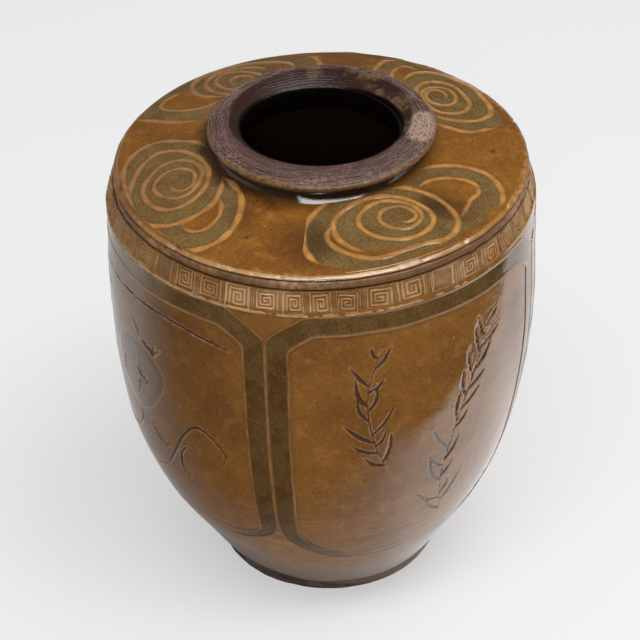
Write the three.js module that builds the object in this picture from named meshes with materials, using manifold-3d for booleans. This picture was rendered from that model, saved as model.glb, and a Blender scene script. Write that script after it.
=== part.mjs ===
// A stoneware vinegar pot: a tapering barrel with a flat shoulder, a stamped key-fret strip under the
// shoulder's edge, a short neck and a thick rolled lip. Four framed panels in olive slip go round the
// wall, and four slip cloud scrolls lie on the shoulder.
// Millimetres, +Z up. The origin is the middle of the foot, on the surface that the pot stands on.
// The middle of one panel faces -Y.

import * as THREE from "three";
import { mergeVertices } from "three/addons/utils/BufferGeometryUtils.js";
import Module from "manifold-3d";

// Clay wall and the luted joints between the pieces
const WALL = 9; // thickness, square to the surface
const JOINT_GAP = 0.3; // slip joint between two pieces of clay
const SLIP_GAP = 0.4; // between the clay and a slip inlay laid on it
const TURN_STEPS = 48; // facets round the pot

// Base slab, with the turned foot
const FOOT_RADIUS = 78;
const FOOT_FLARE = 1.5; // how much wider the foot is at its top
const FOOT_HEIGHT = 9;
const FOOT_TREAD = 16; // width of the ring that the pot stands on
const FOOT_RECESS = 3; // depth of the hollow inside the tread
const FLOOR_RISE = 4; // how far the floor stands up inside the wall

// Barrel
const WALL_FOOT_RADIUS = 81; // outside, where the wall leaves the foot
const BELLY_RADIUS = 152;
const BELLY_HEIGHT = 260; // where the taper has died out
const TAPER_POWER = 2.8; // how late the wall turns in towards the foot
const SEAM_HEIGHT = 150; // joint between the lower and the upper wall
const SEAM_LAP = 12; // height of the tongue inside that joint

// Key-fret strip round the top of the wall
const BAND_BOTTOM = 304;
const BAND_HEIGHT = 21;
const BAND_LEAN = 4; // how far the strip leans in towards its top
const BAND_SEAT = 7; // depth of the rebate in the wall that holds the strip
const STAMP_MARGIN = 2.5; // plain clay above and below a stamp
const STAMP_SPACING = 4.6; // plain clay between two stamps
const STAMP_DEPTH = 1.1;
const STAMP_GROOVE = 2.2; // width of the stamped line

// Shoulder slab
const SHOULDER_RADIUS = 147;
const SHOULDER_EDGE = 5; // height of the slab's edge
const SHOULDER_RISE = 15; // from the edge up to the neck
const SHOULDER_EDGE_ROUND = 2;

// Neck and lip
const MOUTH_RADIUS = 57;
const NECK_WALL = 14;
const NECK_FLARE = 4; // how far the neck spreads where it meets the shoulder
const NECK_HEIGHT = 8;
const NECK_SPIGOT = 5; // thickness of the ring that drops into the shoulder's hole
const LIP_REACH = 9; // how far the lip stands out past the neck
const LIP_HEIGHT = 10;
const LIP_ROUND = 3.5;
const LIP_TONGUE = 3; // height of the tongue between neck and lip

// Slip frames round the panels
const PANEL_COUNT = 4;
const FRAME_WIDTH = 15.5;
const FRAME_LINE = 2; // bare line between two neighbouring frames
const FRAME_RELIEF = 0.9;
const FRAME_TOP_GAP = 2.5; // from the strip down to the frames
const FRAME_BOTTOM = 68;
const FRAME_CHAMFER = 24;
const FRAME_STEP = 14; // longest straight piece of a frame's outline

// Slip cloud scrolls on the shoulder
const CLOUD_COUNT = 4;
const CLOUD_RELIEF = 0.7;
const CLOUD_TURNS = 2.75;
const CLOUD_EYE = 4; // radius at which the spiral begins
const CLOUD_LINE = 2.6; // bare line between two turns
const CLOUD_MARGIN = 2.5; // bare clay between a scroll and the edges of the shoulder
const CLOUD_LEAD = 3; // degrees that the scrolls are turned from the panels' middles
const CLOUD_STEPS = 18; // points in a turn

// Heights and radii that follow from the sizes above
const FLOOR_TOP = FOOT_HEIGHT + FLOOR_RISE;
const BAND_TOP = BAND_BOTTOM + BAND_HEIGHT;
const WALL_TOP = BAND_TOP;
const SEAT_RADIUS = BELLY_RADIUS - BAND_SEAT;
const SLAB_BOTTOM = WALL_TOP + JOINT_GAP;
const EDGE_TOP = SLAB_BOTTOM + SHOULDER_EDGE;
const NECK_RADIUS = MOUTH_RADIUS + NECK_WALL;
const NECK_BASE_RADIUS = NECK_RADIUS + NECK_FLARE;
const NECK_BASE = EDGE_TOP + SHOULDER_RISE;
const NECK_TOP = NECK_BASE + NECK_HEIGHT;
const LIP_RADIUS = NECK_RADIUS + LIP_REACH;
const LIP_TOP = NECK_TOP + JOINT_GAP + LIP_HEIGHT;
const SHOULDER_WIDTH = SHOULDER_RADIUS - NECK_BASE_RADIUS;
const SHOULDER_SLOPE = SHOULDER_RISE / SHOULDER_WIDTH;
const CLOUD_ROOM = SHOULDER_WIDTH / 2 - CLOUD_MARGIN - CLOUD_EYE;
const CLOUD_PITCH = (CLOUD_ROOM + CLOUD_LINE / 2) / (CLOUD_TURNS + 0.5); // from one turn to the next

const GLAZE = { color: 0x8a5a22, roughness: 0.25, metalness: 0 };
const SLIP = { color: 0x5c4d2c, roughness: 0.35, metalness: 0 };
const BARE = { color: 0x4f403d, roughness: 0.8, metalness: 0 };

const wasm = await Module();
wasm.setup();

const pot = new THREE.Group();

function addPiece(name, geometry, finish) {
  const piece = new THREE.Mesh(geometry, new THREE.MeshStandardMaterial(finish));
  piece.name = name;
  pot.add(piece);
  return piece;
}

// A closed profile of [radius, height] points turned round the pot's axis.
function turned(profile, steps = TURN_STEPS) {
  const points = profile.map(([radius, height]) => new THREE.Vector2(radius, height));
  const onAxis = profile[0][0] === 0 && profile.at(-1)[0] === 0;
  if (!onAxis) points.push(points[0].clone());
  return new THREE.LatheGeometry(points, steps).rotateX(Math.PI / 2);
}

// Points on an arc in the profile, from one angle to another in degrees.
function arc(radius, height, round, from, to, steps) {
  return Array.from({ length: steps + 1 }, (_, i) => {
    const angle = THREE.MathUtils.degToRad(from + ((to - from) * i) / steps);
    return [radius + round * Math.cos(angle), height + round * Math.sin(angle)];
  });
}

// Heights from low to high, in equal steps, both ends included.
function heights(low, high, steps) {
  return Array.from({ length: steps + 1 }, (_, i) => low + ((high - low) * i) / steps);
}

// Outside of the barrel: a power curve that leaves the foot steeply and dies out at the belly.
function barrelRadius(height) {
  const left = Math.max(0, 1 - (height - FOOT_HEIGHT) / (BELLY_HEIGHT - FOOT_HEIGHT));
  return BELLY_RADIUS - (BELLY_RADIUS - WALL_FOOT_RADIUS) * left ** TAPER_POWER;
}

// Inside of the barrel, so that the wall has its thickness square to the surface.
function boreRadius(height) {
  const reach = 0.5;
  const slope = (barrelRadius(height + reach) - barrelRadius(height - reach)) / (2 * reach);
  return barrelRadius(height) - WALL * Math.hypot(1, slope);
}

// Top of the shoulder: a shallow cone.
function shoulderHeight(radius) {
  return EDGE_TOP + (SHOULDER_RADIUS - radius) * SHOULDER_SLOPE;
}

function asSolid(geometry) {
  const plain = geometry.clone();
  plain.deleteAttribute("normal");
  plain.deleteAttribute("uv");
  const merged = mergeVertices(plain, 1e-3);
  return new wasm.Manifold(
    new wasm.Mesh({
      numProp: 3,
      vertProperties: new Float32Array(merged.attributes.position.array),
      triVerts: new Uint32Array(merged.index.array),
    }),
  );
}

function asGeometry(solid) {
  const mesh = solid.getMesh();
  return new THREE.BufferGeometry()
    .setAttribute("position", new THREE.BufferAttribute(mesh.vertProperties, 3))
    .setIndex(new THREE.BufferAttribute(mesh.triVerts, 1));
}

// The outline of a ribbon of one width along an open path, mitred at its corners.
function ribbon(path, width) {
  const sides = path.map((point, i) => {
    const before = path[Math.max(i - 1, 0)];
    const after = path[Math.min(i + 1, path.length - 1)];
    const into = point.clone().sub(before).normalize();
    const out = after.clone().sub(point).normalize();
    const along = into.clone().add(out).normalize();
    const square = i === 0 || i === path.length - 1 ? 1 : along.dot(out);
    return new THREE.Vector2(-along.y, along.x).multiplyScalar(width / 2 / square);
  });
  const left = path.map((point, i) => point.clone().add(sides[i]));
  const right = path.map((point, i) => point.clone().sub(sides[i]));
  return new THREE.Shape([...left, ...right.reverse()]);
}

// Base slab: the floor of the pot, with the tread and the foot turned on it. Its raised floor fits
// inside the foot of the wall.
function baseSlab() {
  const floorRadius = boreRadius(FLOOR_TOP) - JOINT_GAP;
  const ledgeRadius = boreRadius(FOOT_HEIGHT) - JOINT_GAP;
  const treadInside = FOOT_RADIUS - FOOT_TREAD;
  return turned([
    [0, FOOT_RECESS],
    [treadInside - FOOT_RECESS, FOOT_RECESS],
    [treadInside, 0],
    [FOOT_RADIUS, 0],
    [FOOT_RADIUS + FOOT_FLARE, FOOT_HEIGHT],
    [ledgeRadius, FOOT_HEIGHT],
    [floorRadius, FLOOR_TOP],
    [0, FLOOR_TOP],
  ]);
}

// Lower wall: from the foot to the seam, with a tongue on the inner half of its top edge.
function lowerWall() {
  const bottom = FOOT_HEIGHT + JOINT_GAP;
  const tongueTop = SEAM_HEIGHT + SEAM_LAP;
  const tongueRadius = (height) => (barrelRadius(height) + boreRadius(height)) / 2;
  return turned([
    ...heights(bottom, SEAM_HEIGHT, 8).map((height) => [barrelRadius(height), height]),
    [tongueRadius(SEAM_HEIGHT), SEAM_HEIGHT],
    [tongueRadius(tongueTop), tongueTop],
    ...heights(tongueTop, bottom, 6).map((height) => [boreRadius(height), height]),
  ]);
}

// Upper wall: from the seam to the shoulder. The outer half of its lower edge laps the tongue, and a
// rebate round its top holds the key-fret strip.
function upperWall() {
  const bottom = SEAM_HEIGHT + JOINT_GAP;
  const lapTop = SEAM_HEIGHT + SEAM_LAP + JOINT_GAP;
  const lapRadius = (height) => (barrelRadius(height) + boreRadius(height)) / 2 + JOINT_GAP;
  return turned([
    ...heights(bottom, BAND_BOTTOM, 6).map((height) => [barrelRadius(height), height]),
    [SEAT_RADIUS, BAND_BOTTOM],
    [SEAT_RADIUS, WALL_TOP],
    ...heights(WALL_TOP, lapTop, 4).map((height) => [boreRadius(height), height]),
    [lapRadius(lapTop), lapTop],
    [lapRadius(bottom), bottom],
  ]);
}

// One stamp of the key fret: a square groove that winds in towards the middle.
function fretStamp(size) {
  const out = (size - STAMP_GROOVE) / 2;
  const inner = out / 4;
  const corners = [
    [-out, out],
    [-out, -out],
    [out, -out],
    [out, out],
    [-inner, out],
    [-inner, -inner],
    [inner, -inner],
  ];
  const path = corners.map(([x, y]) => new THREE.Vector2(x, y));
  const options = { depth: 2 * STAMP_DEPTH, bevelEnabled: false };
  return new THREE.ExtrudeGeometry(ribbon(path, STAMP_GROOVE), options).translate(0, 0, -STAMP_DEPTH);
}

// Key-fret strip: a strip of clay that leans in towards its top, luted into the wall's rebate and
// stamped all round. It has one facet for each stamp, so its radii are to the facets' corners.
function fretBand() {
  const size = BAND_HEIGHT - 2 * STAMP_MARGIN;
  const middleRadius = BELLY_RADIUS - BAND_LEAN / 2;
  const count = Math.floor((2 * Math.PI * middleRadius) / (size + STAMP_SPACING));
  const facet = Math.cos(Math.PI / count);
  const inside = (SEAT_RADIUS + JOINT_GAP) / facet;
  const bottom = BAND_BOTTOM + JOINT_GAP;
  const profile = [
    [inside, bottom],
    [BELLY_RADIUS, bottom],
    [BELLY_RADIUS - BAND_LEAN, BAND_TOP],
    [inside, BAND_TOP],
  ];
  const strip = turned(profile, count).rotateZ(Math.PI / count);
  const lean = Math.atan2(BAND_LEAN * facet, BAND_TOP - bottom);
  const stamp = fretStamp(size)
    .rotateX(Math.PI / 2 - lean)
    .translate(0, -middleRadius * facet, (bottom + BAND_TOP) / 2);
  const stamps = Array.from({ length: count }, (_, i) =>
    asSolid(stamp.clone().rotateZ((2 * Math.PI * i) / count)),
  );
  return asGeometry(asSolid(strip).subtract(wasm.Manifold.union(stamps)));
}

// Shoulder slab: a thrown disc with the neck's hole in it. It rests on the top of the wall, and the
// step under its edge drops inside the wall.
function shoulderSlab() {
  const hole = MOUTH_RADIUS + NECK_SPIGOT + JOINT_GAP;
  const step = boreRadius(WALL_TOP) - JOINT_GAP;
  const round = Math.min(SHOULDER_EDGE_ROUND, SHOULDER_EDGE / 2);
  const edge = SHOULDER_RADIUS - round;
  return turned([
    [hole, shoulderHeight(hole) - WALL],
    [step, Math.min(shoulderHeight(step) - WALL, SLAB_BOTTOM - JOINT_GAP)],
    [step, SLAB_BOTTOM],
    ...arc(edge, SLAB_BOTTOM + round, round, -90, 0, 3),
    ...arc(edge, EDGE_TOP - round, round, 0, 90, 3),
    [NECK_BASE_RADIUS, NECK_BASE],
    [hole, NECK_BASE],
  ]);
}

// Neck: a short hollow-sided collar on the shoulder. A spigot goes down through the shoulder's hole,
// and a tongue on its top locates the lip.
function neckCollar() {
  const seat = NECK_BASE + JOINT_GAP;
  const spigot = MOUTH_RADIUS + NECK_SPIGOT;
  const tongue = MOUTH_RADIUS + NECK_WALL / 2;
  const hollow = heights(seat, NECK_TOP, 4).map((height) => {
    const share = (height - seat) / (NECK_TOP - seat);
    return [NECK_BASE_RADIUS - NECK_FLARE * Math.sin((share * Math.PI) / 2), height];
  });
  return turned([
    [MOUTH_RADIUS, shoulderHeight(spigot) - WALL],
    [spigot, shoulderHeight(spigot) - WALL],
    [spigot, seat],
    ...hollow,
    [tongue, NECK_TOP],
    [tongue, NECK_TOP + LIP_TONGUE],
    [MOUTH_RADIUS, NECK_TOP + LIP_TONGUE],
  ]);
}

// Lip: a thick rolled ring, flat on top, with a recess under it for the neck's tongue.
function mouthRim() {
  const seat = NECK_TOP + JOINT_GAP;
  const recessTop = seat + LIP_TONGUE;
  const recessRadius = MOUTH_RADIUS + NECK_WALL / 2 + JOINT_GAP;
  const round = Math.min(LIP_ROUND, LIP_HEIGHT / 2);
  const inner = Math.min(LIP_ROUND, LIP_HEIGHT - LIP_TONGUE) / 2;
  return turned([
    [MOUTH_RADIUS, recessTop],
    [recessRadius, recessTop],
    [recessRadius, seat],
    [NECK_RADIUS, seat],
    ...arc(LIP_RADIUS - round, seat + round, round, -60, 0, 2),
    ...arc(LIP_RADIUS - round, LIP_TOP - round, round, 0, 90, 3),
    ...arc(MOUTH_RADIUS + inner, LIP_TOP - inner, inner, 90, 180, 2),
  ]);
}

// The corners of a panel's outline, pulled in by some inset: a rectangle with cut corners, in
// millimetres along the belly (x) and up the pot (y).
function panelCorners(inset) {
  const half = (Math.PI * BELLY_RADIUS) / PANEL_COUNT - FRAME_LINE / 2 - inset;
  const top = BAND_BOTTOM - FRAME_TOP_GAP - inset;
  const bottom = FRAME_BOTTOM + inset;
  const cut = Math.max(FRAME_CHAMFER - inset * (2 - Math.SQRT2), 1);
  return [
    [-half + cut, bottom],
    [half - cut, bottom],
    [half, bottom + cut],
    [half, top - cut],
    [half - cut, top],
    [-half + cut, top],
    [-half, top - cut],
    [-half, bottom + cut],
  ].map(([along, height]) => new THREE.Vector2(along, height));
}

// Panel frame: a band of slip laid on the wall round one panel. A torus with a four-sided tube gives
// the ring, and its vertices are moved to the band's four edges and bent on to the barrel.
function panelFrame() {
  const outer = panelCorners(0);
  const inner = panelCorners(FRAME_WIDTH);
  const stations = outer.flatMap((corner, i) => {
    const next = (i + 1) % outer.length;
    const pieces = Math.ceil(corner.distanceTo(outer[next]) / FRAME_STEP);
    return Array.from({ length: pieces }, (_, k) => ({
      outer: corner.clone().lerp(outer[next], k / pieces),
      inner: inner[i].clone().lerp(inner[next], k / pieces),
    }));
  });
  const edges = [
    ["outer", 0],
    ["outer", FRAME_RELIEF],
    ["inner", FRAME_RELIEF],
    ["inner", 0],
  ];
  const frame = new THREE.TorusGeometry(2, 1, edges.length, stations.length);
  const place = frame.attributes.position;
  for (let i = 0; i < place.count; i++) {
    const [side, relief] = edges[Math.floor(i / (stations.length + 1)) % edges.length];
    const point = stations[i % (stations.length + 1) % stations.length][side];
    const angle = point.x / BELLY_RADIUS;
    const radius = barrelRadius(point.y) + SLIP_GAP + relief;
    place.setXYZ(i, radius * Math.sin(angle), -radius * Math.cos(angle), point.y);
  }
  return frame;
}

// The line that a cloud scroll follows, in millimetres out across the shoulder (x) and along it (y):
// a spiral that ends at its outermost point, and then a tail that sweeps away and hooks back.
function cloudLine() {
  const count = Math.round(CLOUD_TURNS * CLOUD_STEPS);
  const spiral = Array.from({ length: count + 1 }, (_, i) => {
    const turn = (CLOUD_TURNS * i) / count;
    const angle = 2 * Math.PI * (turn - CLOUD_TURNS);
    const reach = CLOUD_EYE + CLOUD_PITCH * turn;
    return new THREE.Vector2(reach * Math.cos(angle), reach * Math.sin(angle));
  });
  const reach = CLOUD_EYE + CLOUD_PITCH * CLOUD_TURNS;
  const hook = [
    [1, 0],
    [0.9, 0.75],
    [0.62, 1.5],
    [0, 1.85],
    [-0.5, 1.6],
    [-0.35, 1.25],
  ].map(([out, along]) => new THREE.Vector2(out * reach, along * reach));
  return [...spiral, ...new THREE.SplineCurve(hook).getPoints(CLOUD_STEPS).slice(1)];
}

// Cloud scroll: a ribbon of slip on the shoulder. It is extruded flat, bent round the pot's axis and
// set on the shoulder's slope.
function cloudScroll() {
  const shape = ribbon(cloudLine(), CLOUD_PITCH - CLOUD_LINE);
  const middle = (SHOULDER_RADIUS + NECK_BASE_RADIUS) / 2;
  const scroll = new THREE.ExtrudeGeometry(shape, { depth: CLOUD_RELIEF, bevelEnabled: false });
  const place = scroll.attributes.position;
  for (let i = 0; i < place.count; i++) {
    const radius = middle + place.getX(i);
    const angle = place.getY(i) / middle;
    const height = shoulderHeight(radius) + SLIP_GAP + place.getZ(i);
    place.setXYZ(i, radius * Math.cos(angle), radius * Math.sin(angle), height);
  }
  return scroll;
}

addPiece("base_slab", baseSlab(), BARE);
addPiece("lower_wall", lowerWall(), GLAZE);
addPiece("upper_wall", upperWall(), GLAZE);
addPiece("fret_band", fretBand(), GLAZE);
addPiece("shoulder_slab", shoulderSlab(), GLAZE);
addPiece("neck_collar", neckCollar(), GLAZE);
addPiece("mouth_rim", mouthRim(), BARE);

for (let i = 0; i < PANEL_COUNT; i++) {
  const frame = addPiece(`panel_frame_${i + 1}`, panelFrame(), SLIP);
  frame.rotation.z = (2 * Math.PI * i) / PANEL_COUNT;
}

for (let i = 0; i < CLOUD_COUNT; i++) {
  const scroll = addPiece(`cloud_scroll_${i + 1}`, cloudScroll(), SLIP);
  const lead = THREE.MathUtils.degToRad(CLOUD_LEAD) - Math.PI / 2;
  scroll.rotation.z = lead + (2 * Math.PI * i) / CLOUD_COUNT;
}

export default pot;
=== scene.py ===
import math

import bpy
import numpy as np
from mathutils import Matrix, Vector


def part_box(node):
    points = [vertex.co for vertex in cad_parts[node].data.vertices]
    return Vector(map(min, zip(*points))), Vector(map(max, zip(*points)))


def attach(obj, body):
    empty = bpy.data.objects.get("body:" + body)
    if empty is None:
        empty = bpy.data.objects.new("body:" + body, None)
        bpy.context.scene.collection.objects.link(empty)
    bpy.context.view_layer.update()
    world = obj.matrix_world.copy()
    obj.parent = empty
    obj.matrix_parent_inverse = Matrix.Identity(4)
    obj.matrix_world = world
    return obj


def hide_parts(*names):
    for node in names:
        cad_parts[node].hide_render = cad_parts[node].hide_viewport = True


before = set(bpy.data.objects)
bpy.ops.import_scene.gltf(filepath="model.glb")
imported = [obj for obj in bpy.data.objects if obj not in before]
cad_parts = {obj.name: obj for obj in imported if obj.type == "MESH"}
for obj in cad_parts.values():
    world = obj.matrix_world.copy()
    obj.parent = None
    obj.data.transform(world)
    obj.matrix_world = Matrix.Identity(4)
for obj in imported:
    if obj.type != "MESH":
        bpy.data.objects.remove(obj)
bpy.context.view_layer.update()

# Foot: the thick thrown base of the jar, with a turned tread and a shallow recess underneath.
# It is bare purple-brown stoneware. The glaze was dipped on and stops above it in an uneven line.
MM = 0.001
PHOTO_SIDE = math.radians(-30)
SHARP_EDGE = math.radians(55)
GLAZE_IOR = 1.65
CLAY_IOR = 1.42

foot_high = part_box("base_slab")[1] / MM
FOOT_RADIUS = foot_high.x - 0.7
FOOT_TOP = 9.0
TREAD_INSIDE = 62.0
FOOT_RECESS = 3.0
FOOT_SPLAY = 3.4
FOOT_COLUMNS = 360
BARE_LINE = 2.2
BARE_DIP = 17.0
BARE_DIP_AT = -42

CLAY_DARK = (0.040, 0.017, 0.014, 1)
CLAY_MID = (0.128, 0.064, 0.051, 1)
CLAY_WORN = (0.330, 0.235, 0.185, 1)


def around(radius, height, angle):
    """Points in mm of a turned surface: radius and height carried to an angle from -Y towards +X."""
    radius, height, angle = np.broadcast_arrays(radius, height, angle)
    return np.stack([radius * np.sin(angle), -radius * np.cos(angle), height], axis=-1)


def swell(angle, height, seed, turns=4, pitch=150.0, waves=7):
    """Unevenness between -1 and 1: the mean of waves that each run a whole number of times round
    the pot, climb at their own rate and start at their own phase, so that the sum closes."""
    draw = np.random.default_rng(seed)
    total = 0.0
    for _ in range(waves):
        count = draw.integers(1, turns + 1)
        climb = draw.uniform(-1, 1) * 2 * np.pi / pitch
        total = total + np.cos(count * angle + climb * height + draw.uniform(0, 2 * np.pi))
    return total / waves * 1.6


def cells_of(number):
    """Corners of the four-sided faces between the rows and columns of a grid of point numbers."""
    corners = [number[:-1, :-1], number[:-1, 1:], number[1:, 1:], number[1:, :-1]]
    return np.stack(corners, axis=-1).reshape(-1, 4)


def put_in(name, data):
    """Object made of a mesh, a lamp or a camera and linked into the scene."""
    thing = bpy.data.objects.new(name, data)
    bpy.context.scene.collection.objects.link(thing)
    return thing


def skin(name, grid, material, nodes, marks=None, poles=False, caps=False):
    """Piece from a grid of points in mm, rows along the section and columns round it, one face a cell.
    Rows close on themselves unless they end in two poles, columns unless they end in flat caps."""
    rows, columns = grid.shape[:2]
    number = np.arange(rows * columns).reshape(rows, columns)
    lap = number if poles else np.vstack([number, number[:1]])
    lap = lap if caps else np.hstack([lap, lap[:, :1]])
    faces = [cells_of(lap)]
    points = grid.reshape(-1, 3)
    if poles:
        points = np.vstack([points, grid[[0, -1]].mean(axis=1)])
        low = np.full(columns, rows * columns)
        faces.append(np.stack([low, lap[0, 1:], lap[0, :-1]], axis=-1))
        faces.append(np.stack([lap[-1, :-1], lap[-1, 1:], low + 1], axis=-1))
    if caps:
        faces.append(number[None, :, 0])
        faces.append(number[None, ::-1, -1])
    mesh = bpy.data.meshes.new(name)
    mesh.vertices.add(len(points))
    mesh.vertices.foreach_set("co", (points * MM).astype(np.float32).ravel())
    corners = np.concatenate([face.ravel() for face in faces])
    sizes = np.concatenate([np.full(len(face), face.shape[1]) for face in faces])
    mesh.loops.add(len(corners))
    mesh.loops.foreach_set("vertex_index", corners.astype(np.int32))
    mesh.polygons.add(len(sizes))
    mesh.polygons.foreach_set("loop_start", (np.cumsum(sizes) - sizes).astype(np.int32))
    mesh.polygons.foreach_set("use_smooth", np.ones(len(sizes), bool))
    for label, values in (marks or {}).items():
        values = np.broadcast_to(values, (rows, columns)).ravel()
        if poles:
            values = np.append(values, [values[0], values[-1]])
        mark = mesh.attributes.new(label, "FLOAT", "POINT")
        mark.data.foreach_set("value", values.astype(np.float32))
    mesh.update(calc_edges=True)
    mesh.validate()
    mesh.set_sharp_from_angle(angle=SHARP_EDGE)
    mesh.materials.append(material)
    piece = put_in(name, mesh)
    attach(piece, "root")
    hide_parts(*nodes)
    return piece


def feed(socket, value):
    """Links a socket's value where it is another socket, and sets it where it is a number."""
    if isinstance(value, bpy.types.NodeSocket):
        socket.id_data.links.new(value, socket)
    else:
        socket.default_value = value


def new_node(kind, places, values, **settings):
    """Output sockets of a shader node with its settings and with values at its inputs. It stands in the
    tree of the first value that is a socket."""
    tree = next(value.id_data for value in values if isinstance(value, bpy.types.NodeSocket))
    node = tree.nodes.new("ShaderNode" + kind)
    for setting, choice in settings.items():
        setattr(node, setting, choice)
    for place, value in zip(places, values):
        feed(node.inputs[place], value)
    return node.outputs


def calc(operation, *values):
    """Output of a Math node on one to three values."""
    return new_node("Math", range(3), values, operation=operation)[0]


def times(first, second):
    """Product of two values."""
    return calc("MULTIPLY", first, second)


def scaled(value, factor, offset):
    """Value times a factor, plus an offset."""
    return calc("MULTIPLY_ADD", value, factor, offset)


def most(value, *others):
    """Largest of several values."""
    for other in others:
        value = calc("MAXIMUM", value, other)
    return value


def blend(share, first, second):
    """Colour that goes from first at a share of 0 to second at 1."""
    return new_node("Mix", (0, 6, 7), (share, first, second), data_type="RGBA")[2]


def ease(value, low, high, full=1.0, none=0.0):
    """Soft step from none where a value is at low to full where it is at high."""
    values = (value, low, high, none, full)
    return new_node("MapRange", range(5), values, interpolation_type="SMOOTHSTEP")[0]


def mottle(vector, scale, detail=3.0, rough=0.55):
    """Value of a Noise Texture on a vector."""
    labels = ("Vector", "Scale", "Detail", "Roughness")
    return new_node("TexNoise", labels, (vector, scale, detail, rough))["Fac"]


def stretch(vector, scale):
    """Vector with each axis scaled by its own factor."""
    return new_node("Mapping", ("Vector", "Scale"), (vector, scale))["Vector"]


def gauge(operation, first, second=(0, 0, 0)):
    """Value of a Vector Math node on two vectors."""
    return new_node("VectorMath", (0, 1), (first, second), operation=operation)["Value"]


def height_of(position):
    """Height in metres of a point."""
    return gauge("DOT_PRODUCT", position, (0, 0, 1))


def from_axis(position):
    """Distance in metres of a point from the jar's axis."""
    return gauge("LENGTH", stretch(position, (1, 1, 0)))


def towards(bearing):
    """Level direction towards a bearing in degrees, counted from the camera's side."""
    turned = PHOTO_SIDE + math.radians(bearing)
    return np.array([math.sin(turned), -math.cos(turned), 0.0])


def reach_to(position, bearing):
    """How far in metres a point lies from the jar's axis towards a bearing."""
    return gauge("DOT_PRODUCT", position, towards(bearing))


def new_group(name, ins, outs):
    """Empty shader node group with named sockets, as (group, its inputs, its outputs to be fed)."""
    group = bpy.data.node_groups.new(name, "ShaderNodeTree")
    for way, sockets in (("INPUT", ins), ("OUTPUT", outs)):
        for label, kind in sockets.items():
            group.interface.new_socket(label, in_out=way, socket_type="NodeSocket" + kind)
    return group, group.nodes.new("NodeGroupInput").outputs, group.nodes.new("NodeGroupOutput").inputs


def use_group(group, **values):
    """Output sockets of a node group placed in a material with these inputs."""
    return new_node("Group", values.keys(), values.values(), node_tree=group)


def new_material(name):
    """Material as (material, its tree, its Principled BSDF, its Object coordinates)."""
    material = bpy.data.materials.new(name)
    material.use_nodes = True
    tree = material.node_tree
    coords = tree.nodes.new("ShaderNodeTexCoord")
    return material, tree, tree.nodes["Principled BSDF"], coords.outputs["Object"]


def mark_of(tree, label):
    """Value of one of the piece's own marks."""
    node = tree.nodes.new("ShaderNodeAttribute")
    node.attribute_name = label
    return node.outputs["Fac"]


def surface(shader, colour, roughness, height, depth, index):
    """Feeds a Principled BSDF with a colour, a roughness, a bump of that depth in metres and an index
    of refraction."""
    bump = new_node("Bump", ("Strength", "Distance", "Height"), (1.0, depth, height))["Normal"]
    shader.inputs["IOR"].default_value = index
    for label, value in (("Base Color", colour), ("Roughness", roughness), ("Normal", bump)):
        feed(shader.inputs[label], value)


def full_turn(columns):
    """Angles once round the jar, the last one short of the first."""
    return np.linspace(0, 2 * np.pi, columns, endpoint=False)


def side_on(angle, bearing):
    """Share from 0 to 1 by which a point faces a bearing in degrees, counted from the camera's side."""
    return np.clip(np.cos(angle - PHOTO_SIDE - math.radians(bearing)), 0, 1)


def bare_edge(angle, height):
    """How far in mm a point is below the uneven line where the glaze stops, positive where bare."""
    line = BARE_LINE + BARE_DIP * side_on(angle, BARE_DIP_AT) ** 4
    line = line + 0.8 * swell(angle, height, 11, turns=14) + 0.5 * swell(angle, height, 12, turns=40)
    return line - height


FINISH = {"Color": "Color", "Roughness": "Float", "Height": "Float"}
WHEEL_TURNS = 1.6
WHEEL_LINES = 900.0
fired_clay, given, result = new_group("fired clay", {"Position": "Vector"}, FINISH)
position = given["Position"]
turn = calc("ARCTAN2", gauge("DOT_PRODUCT", position, (1, 0, 0)), gauge("DOT_PRODUCT", position, (0, 1, 0)))
lines = [times(part, WHEEL_LINES) for part in (from_axis(position), height_of(position))]
wheel = new_node("CombineXYZ", range(3), [times(turn, WHEEL_TURNS), *lines])[0]
streak = mottle(wheel, 1.0, 4.0, 0.65)
scratch = mottle(stretch(wheel, (1.9, 2.5, 2.5)), 1.0, 2.0, 0.5)
sand = mottle(position, 560.0, 3.0, 0.6)
tone = blend(ease(streak, 0.36, 0.64), CLAY_DARK, CLAY_MID)
worn = times(ease(mottle(position, 55.0, 4.0), 0.40, 0.66), ease(sand, 0.44, 0.66, 0.55))
tone = blend(worn, tone, CLAY_WORN)
tone = blend(ease(scratch, 0.56, 0.68, 0.65), tone, CLAY_WORN)
feed(result["Color"], blend(ease(sand, 0.47, 0.32, 0.8), tone, CLAY_DARK))
feed(result["Roughness"], scaled(streak, 0.25, 0.58))
feed(result["Height"], scaled(sand, 0.9, streak))

GLAZE_DEEP = (0.180, 0.068, 0.010, 1)
GLAZE_AMBER = (0.250, 0.100, 0.013, 1)
GLAZE_LIGHT = (0.380, 0.168, 0.032, 1)
GLAZE_POOL_AND_SHADE = (0.034, 0.014, 0.006, 1)
GLAZE_THIN_AND_HIGHLIGHT = (0.480, 0.285, 0.130, 1)
GLAZE_SKIM = (0.205, 0.140, 0.098, 1)
IRON_SPECK = (0.050, 0.026, 0.014, 1)
PINHOLE = (0.550, 0.420, 0.300, 1)
GLAZE_BUMP = 0.00013

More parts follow.
